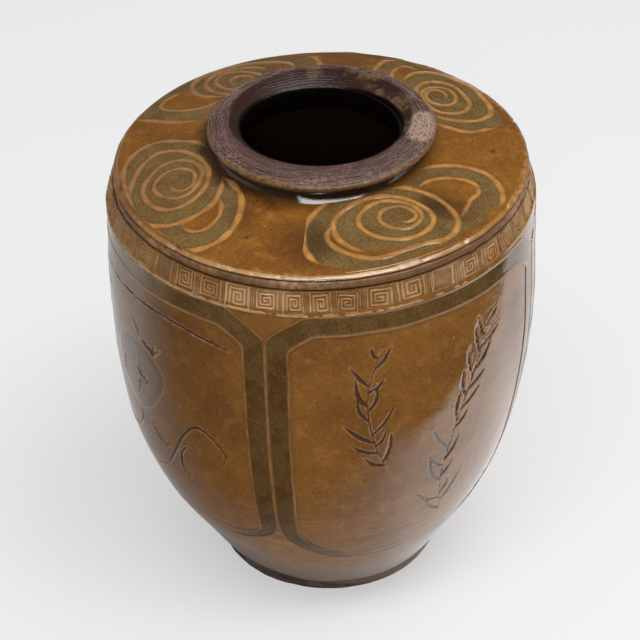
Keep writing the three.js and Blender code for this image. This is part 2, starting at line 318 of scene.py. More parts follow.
honey_glaze, given, result = new_group(
    "honey glaze", {"Position": "Vector", "Pool": "Float", "Thin": "Float"}, FINISH
)
position = given["Position"]
blotch = mottle(position, 80.0, 5.0, 0.6)
grain = mottle(position, 430.0, 3.0, 0.6)
grit = mottle(position, 900.0, 1.0)
pinhole = mottle(stretch(position, (1.1, 1.1, 1.1)), 620.0, 0.0)
tone = blend(ease(mottle(position, 15.0, 4.0), 0.36, 0.64), GLAZE_DEEP, GLAZE_AMBER)
for cover, low, high, share, shade in (
    (blotch, 0.50, 0.72, 0.5, GLAZE_LIGHT), (blotch, 0.48, 0.30, 0.6, GLAZE_DEEP),
    (grain, 0.54, 0.74, 0.4, GLAZE_LIGHT), (grain, 0.44, 0.28, 0.4, GLAZE_POOL_AND_SHADE),
    (grit, 0.44, 0.30, 0.34, GLAZE_POOL_AND_SHADE), (pinhole, 0.82, 0.88, 0.6, PINHOLE),
):
    tone = blend(ease(cover, low, high, share), tone, shade)
# Pale thin glaze and dark pooled glaze; through these two shares the pieces also paint a highlight on the
# shoulder's crest and the band's lit ridges, and shade on the far side, the left and inside.
tone = blend(given["Thin"], tone, GLAZE_THIN_AND_HIGHLIGHT)
tone = blend(given["Pool"], tone, GLAZE_POOL_AND_SHADE)
speck = ease(mottle(position, 330.0, 0.0), 0.80, 0.86, 0.5)
feed(result["Color"], blend(speck, tone, IRON_SPECK))
feed(result["Roughness"], scaled(blotch, 0.09, 0.04))
feed(result["Height"], scaled(grain, 0.4, times(blotch, 1.6)))

FOOT_POOL = 0.35
FOOT_SKIM = 0.65
FOOT_BUMP = 0.0004


def glaze_line(tree, shader, colour, clay, glaze, height, depth):
    """Surface that is bare clay below the line where the glaze stops, and a colour of glaze above it."""
    bare = ease(mark_of(tree, "bare"), -1.4, 1.0)
    rough = most(times(bare, clay["Roughness"]), glaze["Roughness"])
    surface(shader, blend(bare, colour, clay["Color"]), rough, height, depth, GLAZE_IOR)


foot_finish, tree, shader, position = new_material("bare foot")
clay = use_group(fired_clay, Position=position)
glaze = use_group(honey_glaze, Position=position, Pool=FOOT_POOL, Thin=0.0)
colour = blend(FOOT_SKIM, glaze["Color"], GLAZE_SKIM)
glaze_line(tree, shader, colour, clay, glaze, clay["Height"], FOOT_BUMP)

turn = full_turn(FOOT_COLUMNS)
section = np.array([
    (20.0, FOOT_RECESS), (50.0, FOOT_RECESS), (TREAD_INSIDE - 2.0, FOOT_RECESS),
    (TREAD_INSIDE - 0.6, 0.9), (TREAD_INSIDE + 0.8, 0.1), (FOOT_RADIUS - 8.0, 0.0),
    (FOOT_RADIUS - 2.2, 0.1), (FOOT_RADIUS - 0.7, 0.7), (FOOT_RADIUS, 1.9), (FOOT_RADIUS + 0.2, 3.2),
    (FOOT_RADIUS, 4.6), (FOOT_RADIUS - 0.3, 6.0), (FOOT_RADIUS - 0.5, 7.4), (FOOT_RADIUS - 0.4, 8.6),
    (FOOT_RADIUS - 1.0, 9.4), (FOOT_RADIUS - 6.0, 9.8), (TREAD_INSIDE, FOOT_TOP + 3.0),
    (20.0, FOOT_TOP + 4.0),
])
radius, height = section[:, :1], section[:, 1:]
outer = np.clip((radius - TREAD_INSIDE) / (FOOT_RADIUS - TREAD_INSIDE), 0, 1)
knock = 0.25 * swell(turn, height * 9, 21, turns=30) + 0.12 * swell(turn, height * 9, 22, turns=70)
nick = np.clip(swell(turn, 0 * height, 23, turns=24) - 0.62, 0, 1) * np.clip(1 - height / 4, 0, 1)
radius = radius + outer * (knock - 2 * nick + FOOT_SPLAY * side_on(turn, 70))
height = np.where(height < 2.5, np.maximum(height + nick * 2.0 * outer, 0), height)
skin(
    "turned_foot", around(radius, height, turn), foot_finish, ["base_slab"],
    {"bare": bare_edge(turn, height)}, poles=True,
)

# Barrel: the jar's wall, thrown in two lifts that are luted together half way up and glazed as one.
# Stoneware under amber ash glaze; fruit, tendrils and leaf sprigs are cut into it with a stick while wet.
BELLY_RADIUS = (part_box("upper_wall")[1] / MM).x
BELLY_HEIGHT = 260.0
WALL_FOOT_RADIUS = 81.0
TAPER_POWER = 2.8
WALL = 9.0
SEAM_HEIGHT = 150.0
BARREL_TOP = 309.0
PANELS = 4
PICTURE_HALF = math.radians(38)
PICTURE_CELL = 1.25
DIVIDER_COLUMNS = 15
PICTURE_BOTTOM = 88.0
PICTURE_TOP = 288.0
FAR = 9.0
RIPPLE_PITCH = 8.5
RIPPLE_TOP = 135.0
RIPPLE_FADE = 60
RIPPLE_DEPTH = 0.05
BARREL_LEANS = (
    (1.2 * FOOT_SPLAY, 70, 0, 18), (-3.4, -80, 42, 28), (1.4, 90, 225, 50), (1.2, -90, 125, 35),
    (-2.8, -98, 305, 30),
)

CUT_DEPTH = 0.75
CUT_SLOPE = 0.8
BURR_HEIGHT = 0.30
BURR_AT = 0.55
BURR_SPAN = 0.45
FRUIT_BULGE = 0.5
FRUIT_SLOPE = 6
CUT_CLAY = (0.052, 0.026, 0.015, 1)
BURR_CLAY = (0.400, 0.205, 0.095, 1)
FRUIT_SLIP = (0.105, 0.080, 0.055, 1)


def barrel_radius(angle, height):
    """Outside radius in mm: the belly's, less a power curve below the belly, plus slow unevenness, the
    turning ripples that are left low on the wall, and the leans: so far out, on a bearing, round a
    height, within a span."""
    fall = np.clip(1 - (height - FOOT_TOP) / (BELLY_HEIGHT - FOOT_TOP), 0, 1)
    low = np.clip((RIPPLE_TOP - height) / RIPPLE_FADE, 0, 1)
    ripple = np.sin(2 * np.pi * height / RIPPLE_PITCH + 1.5 * swell(angle, height, 31))
    rough = 0.4 * swell(angle, height, 32, turns=3) + 0.22 * swell(angle, height, 33, turns=9, pitch=60)
    rough = rough + 0.07 * swell(angle, height, 34, turns=30, pitch=22, waves=12)
    rough = rough + RIPPLE_DEPTH * low * ripple
    for out, bearing, level, span in BARREL_LEANS:
        rough = rough + out * side_on(angle, bearing) * np.exp(-(((height - level) / span) ** 2))
    return BELLY_RADIUS - (BELLY_RADIUS - WALL_FOOT_RADIUS) * fall**TAPER_POWER + rough


def curve(points, steps=9):
    """Points along the Catmull-Rom spline through the given points, steps to each span."""
    p = np.asarray(points, float)
    p = np.vstack([2 * p[0] - p[1], p, 2 * p[-1] - p[-2]])
    a, b, c, d = p[:-3], p[1:-2], p[2:-1], p[3:]
    t = np.linspace(0, 1, steps, endpoint=False)[:, None, None]
    s = 2 * b + (c - a) * t + (2 * a - 5 * b + 4 * c - d) * t**2 + (3 * b - a - 3 * c + d) * t**3
    return np.vstack([0.5 * s.transpose(1, 0, 2).reshape(-1, p.shape[1]), p[-2]])


def gap_to(points, path, half):
    """Distance in mm from each point to the nearest stretch of a path, less its half width there.
    The path is taken a few dozen stretches at a time, and points beyond FAR of it keep FAR."""
    gap = np.full(len(points), FAR)
    half = np.broadcast_to(half, len(path))
    for part in np.array_split(np.arange(len(path) - 1), max(1, len(path) // 24)):
        ends = np.append(part, part[-1] + 1)
        near = np.all((points > path[ends].min(0) - FAR) & (points < path[ends].max(0) + FAR), axis=1)
        run = path[part + 1] - path[part]
        away = points[near][:, None] - path[part]
        along = np.clip((away * run).sum(-1) / np.maximum((run**2).sum(-1), 1e-9), 0, 1)
        away = away - along[..., None] * run
        width = half[part] + along * (half[part + 1] - half[part])
        reach = (np.hypot(away[..., 0], away[..., 1]) - width).min(axis=1, initial=FAR)
        gap[near] = np.minimum(gap[near], reach)
    return gap


def area_gap(points, outline):
    """Distance in mm from each point to a closed outline, negative inside it by the even-odd rule."""
    loop = np.vstack([outline, outline[:1]])
    gap = gap_to(points, loop, 0.0)
    inside = np.zeros(len(points), bool)
    for (ax, ay), (bx, by) in zip(loop[:-1], loop[1:]):
        spans = (ay > points[:, 1]) != (by > points[:, 1])
        inside ^= spans & (points[:, 0] < ax + (points[:, 1] - ay) * (bx - ax) / (by - ay + 1e-12))
    return np.where(inside, -gap, gap)


def stick_cut(points, path, width, sharp):
    """Gap to a line cut with a stick: the half width swells from a point and dies away to one, the
    faster the sharper the stroke."""
    path = curve(path)
    share = np.linspace(0, 1, len(path))
    return gap_to(points, path, width * (0.15 + 0.85 * np.sin(np.pi * share**0.8) ** sharp))


def sprig(stem, leaves, length, seed):
    """Lines of a leafy sprig: a stem, and slim pointed leaves to either side that lean along it and
    droop, each with its own length and lean."""
    draw = np.random.default_rng(seed)
    spine = curve(stem)
    lines = [(stem, 0.7, 0.5)]
    for place in range(leaves):
        share = (place + draw.uniform(0.2, 0.9)) / leaves
        root = spine[int(share * (len(spine) - 2))]
        heading = spine[int(share * (len(spine) - 2)) + 1] - root
        way = 1 - 2 * (place % 2)
        lean = math.atan2(heading[1], heading[0]) + way * draw.uniform(0.35, 1.0)
        reach = length * draw.uniform(0.55, 1.15) * (1 - 0.3 * share)
        middle = root + reach * 0.5 * np.array([math.cos(lean), math.sin(lean)])
        droop = lean - way * draw.uniform(0.1, 0.5)
        tip = middle + reach * 0.55 * np.array([math.cos(droop), math.sin(droop)])
        lines.append(([root, middle, tip], draw.uniform(1.2, 1.9), 0.9))
    return lines


FRUIT_OUTLINE = curve([
    (20, 234), (27, 229), (32.5, 224), (34.5, 216), (32, 207), (21, 190), (8, 177), (-5, 172), (-19, 177),
    (-30, 189), (-35, 204), (-32, 220), (-20, 231), (-4, 236), (9, 237), (20, 234),
])
FRUIT_SPRAY = [
    ([(96, 268), (70, 273), (40, 276), (-10, 274), (-53, 271)], 1.15, 0.5),
    ([(0, 120), (21, 133), (34.5, 152), (48, 175), (61, 189), (74, 185), (84, 173), (83, 163)], 1.25, 0.5),
    ([(50.5, 166), (42.5, 155), (41, 140), (47, 123)], 1.15, 0.5),
    ([(10.6, 170), (13, 162), (22, 154), (33, 155)], 1.1, 0.5),
    ([(22, 233), (27, 238), (33, 243)], 1.5, 0.7),
    ([(21, 234), (24, 240), (28, 245)], 1.2, 0.7),
    ([(27, 239), (20, 238), (9, 241)], 1.9, 0.7),
    ([(9, 241), (3, 250), (-4, 256)], 1.1, 0.5),
    ([(2, 214), (5, 208), (13, 206), (12, 201)], 1.5, 0.8),
    ([(3, 219), (8, 213), (15, 209)], 0.8, 0.6),
    ([(3, 204), (2, 194), (-4, 183)], 0.8, 0.6),
    ([(-14, 216), (-22, 203), (-23, 190)], 0.9, 0.6),
    ([(-2, 172), (-6, 158), (-18, 146), (-38, 140)], 1.1, 0.5),
    ([(-38, 140), (-55, 146), (-66, 162), (-64, 184), (-54, 196)], 1.2, 0.5),
    ([(-38, 140), (-48, 128), (-66, 120), (-82, 124)], 1.3, 0.5),
    ([(-53, 271), (-70, 262), (-80, 245), (-82, 226)], 1.1, 0.5),
    ([(-80, 245), (-68, 240), (-60, 228)], 1.5, 0.9),
    ([(-70, 262), (-58, 255), (-46, 252)], 1.5, 0.9),
]
LEAF_SPRIGS = sprig([(-36, 166), (-46, 196), (-50, 234), (-40, 274)], 13, 30.0, 41) + sprig(
    [(22, 92), (12, 138), (20, 188), (36, 232), (50, 268)], 20, 33.0, 42
)
PANEL_PICTURES = (
    (LEAF_SPRIGS, None, 1), (FRUIT_SPRAY, FRUIT_OUTLINE, -1),
    (LEAF_SPRIGS, None, -1), (FRUIT_SPRAY, FRUIT_OUTLINE, 1),
)

FRAME_BOTTOMS = (61.0, 69.0, 66.0, 77.0)
FRAME_FORK_LOW = 104.0
FRAME_FORK_HIGH = 282.0
FRAME_TOP = 305.0
FRAME_INNER_TOP = 287.2
FRAME_INNER_FORK = 273.5
FRAME_OUTER_HALF = 45.0
FRAME_INNER_HALF = 38.6
FRAME_FOOT_SPREAD = 22.0
FRAME_FOOT_WIDTH = 8.5
FRAME_OUTER_LEAN = 10.3
FRAME_INNER_LEAN = 6.8
WEAR_START = 12.0
WEAR_SPAN = 56.0
LEFT_WEAR = 94.0
LEFT_WEAR_SPAN = 22.0


def frame_side(bottom, half, spread, low, high, neck, top, share_low, share_up):
    """One side of a frame's outline, from its bottom corner up, as angle in degrees and height in mm:
    a swept bottom corner, a straight upright and a leaning top corner."""
    drop = (low - bottom) * (1 - (1 - share_low) ** 1.5)
    low_corner = np.stack([half - spread * share_low**1.7, low - drop], -1)
    upright = np.stack([np.full(len(share_up), half), low + (high - low) * share_up], -1)
    top_corner = np.stack([half - neck * share_low**1.25, high + (top - high) * share_low], -1)
    return np.vstack([low_corner[::-1], upright[1:-1], top_corner])


FRAME_SIDES = (
    (
        0, FRAME_OUTER_HALF, FRAME_FOOT_SPREAD, FRAME_FORK_LOW, FRAME_FORK_HIGH, FRAME_OUTER_LEAN,
        FRAME_TOP,
    ),
    (
        FRAME_FOOT_WIDTH, FRAME_INNER_HALF, FRAME_FOOT_SPREAD - 4, FRAME_FORK_LOW - 2, FRAME_INNER_FORK,
        FRAME_INNER_LEAN, FRAME_INNER_TOP,
    ),
)


def frame_outline(panel, inner):
    """Closed outline of a panel's slip frame, anticlockwise from outside: right side, top, left side,
    bottom; x is the angle from the panel's middle times the belly radius, y the height, both in mm."""
    lift, *shape = FRAME_SIDES[inner]
    side = frame_side(FRAME_BOTTOMS[panel] + lift, *shape, np.linspace(0, 1, 24), np.linspace(0, 1, 110))
    across = np.linspace(1, -1, 112)[1:-1, None]
    top = np.hstack([across * side[-1, 0], np.full_like(across, side[-1, 1])])
    foot = np.hstack([-across * side[0, 0], np.full_like(across, side[0, 1])])
    loop = np.vstack([side, top, side[::-1] * (-1, 1), foot])
    loop[:, 0] *= math.radians(1) * BELLY_RADIUS
    share = full_turn(len(loop))
    seed = 50 + 2 * panel + inner
    loop[:, 0] += 0.35 * swell(share, share, seed, turns=24) * (np.abs(loop[:, 0]) < 115 if not inner else 1)
    loop[:, 1] += 0.45 * swell(share, share, seed + 20, turns=24) * (loop[:, 1] < FRAME_TOP - 1)
    around_loop = np.arange(-2, 3)[:, None] + np.arange(len(loop))
    return loop[around_loop % len(loop)].mean(axis=0)


def frame_wear(across, height):
    """Share by which a frame is worn away along its bottom, from 0 near its uprights to 1 between."""
    inward = math.radians(FRAME_OUTER_HALF) * BELLY_RADIUS - np.abs(across)
    inward = inward + 5 * swell(across / 40, height, 95, turns=9, pitch=30)
    ends = (inward - WEAR_START) / WEAR_SPAN
    ends = np.where(across < 0, np.maximum(ends, (LEFT_WEAR - height) / LEFT_WEAR_SPAN), ends)
    return np.clip(ends, 0, 1) * np.clip((FRAME_FORK_LOW - height) / 8, 0, 1)


def barrel_marks(angle, height):
    """Marks in mm on the barrel: gap to the nearest cut line, gap to the fruit's outline, gap to the
    nearest frame's edge, and how far below the glaze line."""
    cut, fruit, edge = np.full((3, angle.size), FAR)
    for panel, (lines, outline, way) in enumerate(PANEL_PICTURES):
        local = (angle - math.radians(90 * panel) + np.pi) % (2 * np.pi) - np.pi
        points = np.stack([local * BELLY_RADIUS, height], axis=-1).reshape(-1, 2)
        mirrored = points * (way, 1)
        for path, width, sharp in lines:
            cut = np.minimum(cut, stick_cut(mirrored, path, width, sharp))
        if outline is not None:
            fruit = np.minimum(fruit, area_gap(mirrored, outline[::3]))
        for inner in (False, True):
            loop = frame_outline(panel, inner)[::5]
            gap = gap_to(points, np.vstack([loop, loop[:1]]), 0.0) + 4 * frame_wear(*points.T)
            edge = np.minimum(edge, gap)
    shaped = [mark.reshape(angle.shape) for mark in (cut, fruit, edge)]
    return dict(zip(("cut", "fruit", "edge"), shaped), bare=bare_edge(angle, height))


def over_back(marks, rows, value=FAR):
    """Marks of a piece with plain rows added for its hidden back."""
    return {label: np.vstack([mark, np.full((rows, mark.shape[1]), value)]) for label, mark in marks.items()}


def barrel_part(name, outside, inside, node):
    """One lift of the barrel: rows up the outside, with cuts and their burrs, and down the inside."""
    step = 2 * PICTURE_HALF / round(2 * PICTURE_HALF * BELLY_RADIUS / PICTURE_CELL)
    fine = np.arange(-PICTURE_HALF, PICTURE_HALF - step / 2, step)
    plain = np.linspace(PICTURE_HALF, np.pi / 2 - PICTURE_HALF, DIVIDER_COLUMNS, endpoint=False)
    panel = np.concatenate([fine, plain])
    turn = np.concatenate([panel + np.pi / 2 * k for k in range(PANELS)])
    angle, height = np.meshgrid(turn, outside)
    marks = barrel_marks(angle, height)
    cut = np.clip(-marks["cut"] / CUT_SLOPE, 0, 1)
    burr = np.exp(-(((marks["cut"] - BURR_AT) / BURR_SPAN) ** 2))
    bulge = FRUIT_BULGE * np.clip(-marks["fruit"] / FRUIT_SLOPE, 0, 1)
    radius = barrel_radius(angle, height) - CUT_DEPTH * cut * (2 - cut) + BURR_HEIGHT * burr + bulge
    angle_in, height_in = np.meshgrid(turn, inside)
    radius_in = barrel_radius(0 * angle_in, height_in) - WALL
    grid = np.concatenate([around(radius, height, angle), around(radius_in, height_in, angle_in)])
    full = over_back(marks, len(inside))
    full["bare"][len(outside):] = -FAR
    full["inside"] = np.vstack([np.zeros(angle.shape), np.ones(angle_in.shape)])
    return skin(name, grid, barrel_finish, [node], full)


barrel_finish, tree, shader, position = new_material("amber glazed barrel")
cut, fruit, edge = (mark_of(tree, label) for label in ("cut", "fruit", "edge"))
# Painted shade: the glaze darkens towards the jar's left side; the inside wall, a dark lining glaze, is
# darkened nearly to the pooled colour with painted shade.
left_side_shade = ease(reach_to(position, -90), 0.030, 0.120, 0.40)
glaze_darkening = most(ease(edge, 2.4, 0.2, 0.20), left_side_shade, times(mark_of(tree, "inside"), 0.96))
glaze = use_group(honey_glaze, Position=position, Pool=glaze_darkening, Thin=0.0)
clay = use_group(fired_clay, Position=position)
level = height_of(position)
colour = blend(ease(level, 0.276, 0.298, 0.24), glaze["Color"], GLAZE_LIGHT)
dusk = ease(mottle(position, 130.0, 4.0, 0.65), 0.38, 0.62, 0.85, 0.25)
colour = blend(times(ease(fruit, 0.5, -0.9), dusk), colour, FRUIT_SLIP)
colour = blend(ease(calc("ABSOLUTE", fruit), 1.3, 0.3, 0.35), colour, BURR_CLAY)
burr = times(ease(cut, -0.1, 0.3), ease(cut, 1.3, 0.5))
burr = times(burr, ease(mottle(position, 260.0, 3.0), 0.36, 0.62, 0.7))
colour = blend(burr, colour, BURR_CLAY)
colour = blend(ease(cut, 0.15, -0.3, 0.9), colour, CUT_CLAY)
rib = mottle(stretch(position, (1, 1, 16)), 30.0, 4.0, 0.6)
low = ease(level, 0.170, 0.085)
colour = blend(times(ease(rib, 0.56, 0.68, 0.45), low), colour, GLAZE_POOL_AND_SHADE)
colour = blend(times(ease(rib, 0.44, 0.34, 0.35), low), colour, BURR_CLAY)
skimmed = times(ease(level, 0.062, 0.012), scaled(rib, 0.5, 0.42))
colour = blend(most(skimmed, 0.09), colour, GLAZE_SKIM)
glaze_line(tree, shader, colour, clay, glaze, glaze["Height"], GLAZE_BUMP)

low_rows = np.concatenate([
    np.linspace(FOOT_TOP, PICTURE_BOTTOM, 40, endpoint=False),
    np.linspace(PICTURE_BOTTOM, SEAM_HEIGHT, round((SEAM_HEIGHT - PICTURE_BOTTOM) / PICTURE_CELL) + 1),
])
high_rows = np.concatenate([
    np.linspace(SEAM_HEIGHT, PICTURE_TOP, round((PICTURE_TOP - SEAM_HEIGHT) / PICTURE_CELL), endpoint=False),
    np.linspace(PICTURE_TOP, BARREL_TOP, 8),
])
barrel_part("lower_barrel", low_rows, np.linspace(SEAM_HEIGHT, FOOT_TOP, 9), "lower_wall")
barrel_part("upper_barrel", high_rows, np.linspace(BARREL_TOP, SEAM_HEIGHT, 8), "upper_wall")

# Panel frames: four bands of olive slip brushed on the barrel under the glaze, one round each panel.
# Each is edged by trailed lines that stand up and break pale; neighbours share the line between them.
SLIP_RISE = 0.15
LINE_RISE = 0.55
LINE_HALF = 1.15
OUTER_LINE_HALF = 1.35
INNER_LINE_INSET = 1.5
BURIED = 0.9
FRAME_BACK = 1.6
WORN_DOWN = 0.85

SLIP_DARK = (0.050, 0.027, 0.010, 1)
SLIP_OLIVE = (0.245, 0.150, 0.048, 1)
SLIP_BROWN = (0.100, 0.043, 0.010, 1)
SLIP_PALE = (0.330, 0.220, 0.090, 1)
LINE_AMBER = (0.500, 0.235, 0.060, 1)
LINE_TAN = (0.330, 0.155, 0.052, 1)
LINE_DULL = (0.330, 0.160, 0.062, 1)
SHOULDER_POOLS = ((-5, 114, 42, 0.64), (84, 74, 30, 0.80), (-58, 84, 22, 0.40))

speckled_slip, given, result = new_group(
    "speckled slip", {"Position": "Vector", "Brown": "Float", "Shade": "Float"}, {"Color": "Color"}
)
position = given["Position"]
drift = mottle(position, 60.0, 4.0, 0.6)
tone = blend(scaled(ease(drift, 0.40, 0.66), 0.36, given["Brown"]), SLIP_OLIVE, SLIP_BROWN)
tone = blend(ease(mottle(position, 980.0, 2.0, 0.6), 0.52, 0.36, 0.75), tone, SLIP_DARK)
flecks = mottle(stretch(position, (1.3, 1.3, 1.3)), 700.0, 1.0, 0.5)
tone = blend(ease(flecks, 0.58, 0.74, 0.30), tone, SLIP_PALE)
feed(result["Color"], blend(given["Shade"], tone, GLAZE_POOL_AND_SHADE))

pooling_and_side_shade, given, result = new_group(
    "glaze pooled by the neck", {"Position": "Vector", "Gap": "Float"}, {"Pool": "Float"}
)
position = given["Position"]
ragged = mottle(position, 45.0, 4.0, 0.6)
# Painted shade: the pooling by the neck is stronger on the left, and the glaze darkens towards the far side.
left_neck_shade = ease(reach_to(position, -90), -0.02, 0.06, 0.85, 0.35)
by_neck = times(ease(scaled(ragged, -0.028, from_axis(position)), 0.0790, 0.0620), left_neck_shade)
far_side_shade = ease(reach_to(position, -155), 0.015, 0.13, 0.32)
glaze_darkening = most(by_neck, far_side_shade, ease(given["Gap"], 4.5, 0.0, 0.20))
for sideways, forward, reach, share in SHOULDER_POOLS:
    middle = MM * (sideways * towards(90) + forward * towards(0))
    away = gauge("DISTANCE", stretch(position, (1, 1, 0)), middle)
    glaze_darkening = most(glaze_darkening, ease(scaled(ragged, 0.024, away), MM * reach + 0.012, 0.014, share))
feed(result["Pool"], glaze_darkening)


def slip_surface(name, brown, shade_by, line_colour):
    """Material of slip with trailed lines. The line and slip marks give the gaps in mm to the nearest
    line and to the slip's edge: lines are pale and worn, duller in patches and, as painted shade, towards
    the far left; slip is darker beside them and where the glaze pools, with painted shade towards the far
    side and the left; it ends in a ragged edge, past which the glaze is as on the clay round it."""
    material, tree, shader, position = new_material(name)
    line, slip_edge = mark_of(tree, "line"), mark_of(tree, "slip")
    pooled_and_shaded = use_group(pooling_and_side_shade, Position=position, Gap=calc("MINIMUM", line, slip_edge))["Pool"]
    glaze = use_group(honey_glaze, Position=position, Pool=pooled_and_shaded, Thin=0.0)
    beside = most(ease(line, 3.0, 0.0, shade_by), times(pooled_and_shaded, 1.05))
    paler = ease(height_of(position), 0.262, 0.296, brown - 0.26, brown)
    slip = use_group(speckled_slip, Position=position, Brown=paler, Shade=beside)
    ragged = scaled(mottle(position, 200.0, 4.0), 4.0, slip_edge)
    colour = blend(ease(ragged, 3.2, 0.4), glaze["Color"], slip["Color"])
    worn = ease(mottle(position, 110.0, 5.0, 0.65), 0.30, 0.66, 0.95, 0.4)
    # The lines go duller in random patches, and as painted shade towards the far left.
    dull = ease(reach_to(position, -120), -0.020, 0.110)
    dull = most(dull, ease(mottle(position, 35.0, 3.0), 0.48, 0.66, 0.7))
    crest = times(ease(line, 0.8, -1.4), worn)
    colour = blend(crest, colour, blend(dull, line_colour, LINE_DULL))
    surface(shader, colour, glaze["Roughness"], glaze["Height"], GLAZE_BUMP, GLAZE_IOR)
    return material


def with_back(marks):
    """Marks of a piece whose front ends in two rows more, at its last and its first edge."""
    return {label: np.vstack([mark, mark[[-1, 0]]]) for label, mark in marks.items()}


def slip_frame(panel):
    """Frame carried round its outline: across it a trailed line at the outer edge, the slip field, a
    trailed line just inside the inner edge, and a flat back that is buried in the barrel."""
    outer, inner = frame_outline(panel, False), frame_outline(panel, True)
    width = np.hypot(*(outer - inner).T)
    near = np.array([0.0, 0.35, 0.7, 1.05, 1.4, 1.8, 2.3, 3.0])[:, None]
    field = np.linspace(0, 1, 8)[1:-1, None]
    far = np.array([3.2, 2.6, 2.2, 1.85, 1.5, 1.15, 0.8, 0.45, 0.2, 0.0])[:, None]
    depth = np.concatenate([near + 0 * width, 3.0 + (width - 6.2) * field, width - far])
    across = outer + (depth / width)[..., None] * (inner - outer)
    angle = across[..., 0] / BELLY_RADIUS + np.pi / 2 * panel
    height = across[..., 1]
    stations = full_turn(depth.shape[1])
    press = 0.8 + 0.3 * swell(stations, 0, 90 + panel, turns=30)
    outer_line = np.clip(1 - (depth / (OUTER_LINE_HALF + 0.4)) ** 2, 0, 1)
    from_line = width - INNER_LINE_INSET - depth
    inner_line = np.clip(1 - (from_line / (LINE_HALF + 0.2)) ** 2, 0, 1)
    rise = SLIP_RISE + LINE_RISE * press * np.maximum(outer_line, inner_line)
    wear = frame_wear(across[..., 0], height)
    rise = rise * (1 - WORN_DOWN * wear)
    rise = np.where(from_line < -LINE_HALF * 0.9, -BURIED * (-from_line / INNER_LINE_INSET) ** 2, rise)
    radius = barrel_radius(angle, height) + rise
    back = barrel_radius(angle[[-1, 0]], height[[-1, 0]]) - FRAME_BACK
    grid = np.concatenate([around(radius, height, angle), around(back, height[[-1, 0]], angle[[-1, 0]])])
    line = np.minimum(depth - OUTER_LINE_HALF, np.abs(from_line) - LINE_HALF)
    marks = with_back({"line": line + 3.0 * wear, "slip": 7.5 * wear - 4.5})
    name = f"slip_frame_{panel + 1}"
    return skin(name, grid, frame_finish, [f"panel_frame_{panel + 1}"], marks)


frame_finish = slip_surface("brown slip frames", 0.66, 0.25, LINE_TAN)
for panel in range(PANELS):
    slip_frame(panel)

# Fret band: a strip of clay luted round the top of the barrel and stamped by hand with a key-fret block.
# The stamps differ in depth, turn and spacing; glaze pools in them and breaks pale on their ridges.
BAND_BOTTOM = 303.9
BAND_TOP = 321.9
BAND_FOOT_RADIUS = 152.6
BAND_LEAN = 4.3
STAMPS = 45
STAMP_COLUMNS = 40
BAND_ROWS = 42
STAMP_MIDDLE = 10.0
STAMP_HALF = 7.4
STAMP_STRETCH = 1.08
STAMP_DEPTH = 1.0
RIDGE_HALF = 0.48
STAMP_DRIFT = math.radians(-3.6)
STAMP_DRIFT_AT = math.radians(12)
STAMP_DRIFT_SPAN = math.radians(17)
STAMP_START = math.radians(2)
STAMPS_FLIPPED = 0.35
STAMP_TURN = 0.045
STAMP_SHIFT = 0.45
STAMP_SIZES = (0.90, 1.04)
STAMP_PRESSES = (0.45, 1.0)
COMB_HALF = 1.9
COMB_PITCH = 1.8
COMB_DEPTH = 0.30
CHIP_DEPTH = 1.0
PRESSED_AT = -98
PRESSED_LOW = 1.8
PRESSED_MORE = 1.4

FRET_LINE = np.array([
    (-1, -1), (1, -1), (1, 1), (-1, 1), (-1, -0.66), (0.66, -0.66), (0.66, 0.66), (-0.66, 0.66),
    (-0.66, -0.32), (0.32, -0.32), (0.32, 0.32), (-0.3, 0.32), (-0.3, 0.0), (0.02, 0.0),
])
PLAIN_LINE = np.array([(-1, -1), (1, -1), (1, 1), (-1, 1), (-1, -1)])
PLAIN_STAMPS = (4, 12, 15, 24, 31, 39)

SLAB_TILT = 1.2
SLAB_TILT_AT = math.radians(30)


def slab_tilt(angle):
    """Rise in mm of the shoulder's edge, and of the band under it, towards the front right."""
    return SLAB_TILT * np.cos(angle - PHOTO_SIDE - SLAB_TILT_AT)


turn = full_turn(STAMPS * STAMP_COLUMNS)
rise = np.linspace(0, 1, BAND_ROWS)[:, None]
angle, rise = np.broadcast_arrays(turn, rise)
camera_angle = (angle - PHOTO_SIDE + np.pi) % (2 * np.pi) - np.pi
drift = STAMP_DRIFT * np.exp(-(((camera_angle - STAMP_DRIFT_AT) / STAMP_DRIFT_SPAN) ** 2))
place = ((camera_angle - STAMP_START - drift) / (2 * np.pi) * STAMPS + 0.5) % STAMPS
which = np.floor(place).astype(int) % STAMPS
pitch = 2 * np.pi * BAND_FOOT_RADIUS / STAMPS
draw = np.random.default_rng(7)
quarter = draw.integers(0, 4, STAMPS)[which]
flip = np.where(draw.random(STAMPS) < STAMPS_FLIPPED, -1, 1)[which]
tilt = draw.normal(0, STAMP_TURN, STAMPS)[which] + quarter * np.pi / 2
scale = draw.uniform(*STAMP_SIZES, STAMPS)[which] * STAMP_HALF
shift_u, shift_v = (draw.normal(0, STAMP_SHIFT, STAMPS)[which] for _ in range(2))
press = draw.uniform(*STAMP_PRESSES, STAMPS)[which]
along = ((place % 1 - 0.5) * pitch - shift_u) / STAMP_STRETCH
upward = rise * (BAND_TOP - BAND_BOTTOM) - STAMP_MIDDLE - shift_v
local_u = (along * np.cos(tilt) + upward * np.sin(tilt)) / scale * flip
local_v = (upward * np.cos(tilt) - along * np.sin(tilt)) / scale
local = np.stack([local_u, local_v], axis=-1).reshape(-1, 2)
fret = gap_to(local, FRET_LINE, 0.0).reshape(angle.shape)
plain = gap_to(local, PLAIN_LINE, 0.0).reshape(angle.shape)
ridge = np.where(np.isin(which, PLAIN_STAMPS), plain, fret) * STAMP_HALF - RIDGE_HALF
inside = np.maximum(np.abs(local_u), np.abs(local_v)) < 1.04
between = np.abs(np.abs((place % 1 - 0.5) * pitch) - pitch / 2) < COMB_HALF
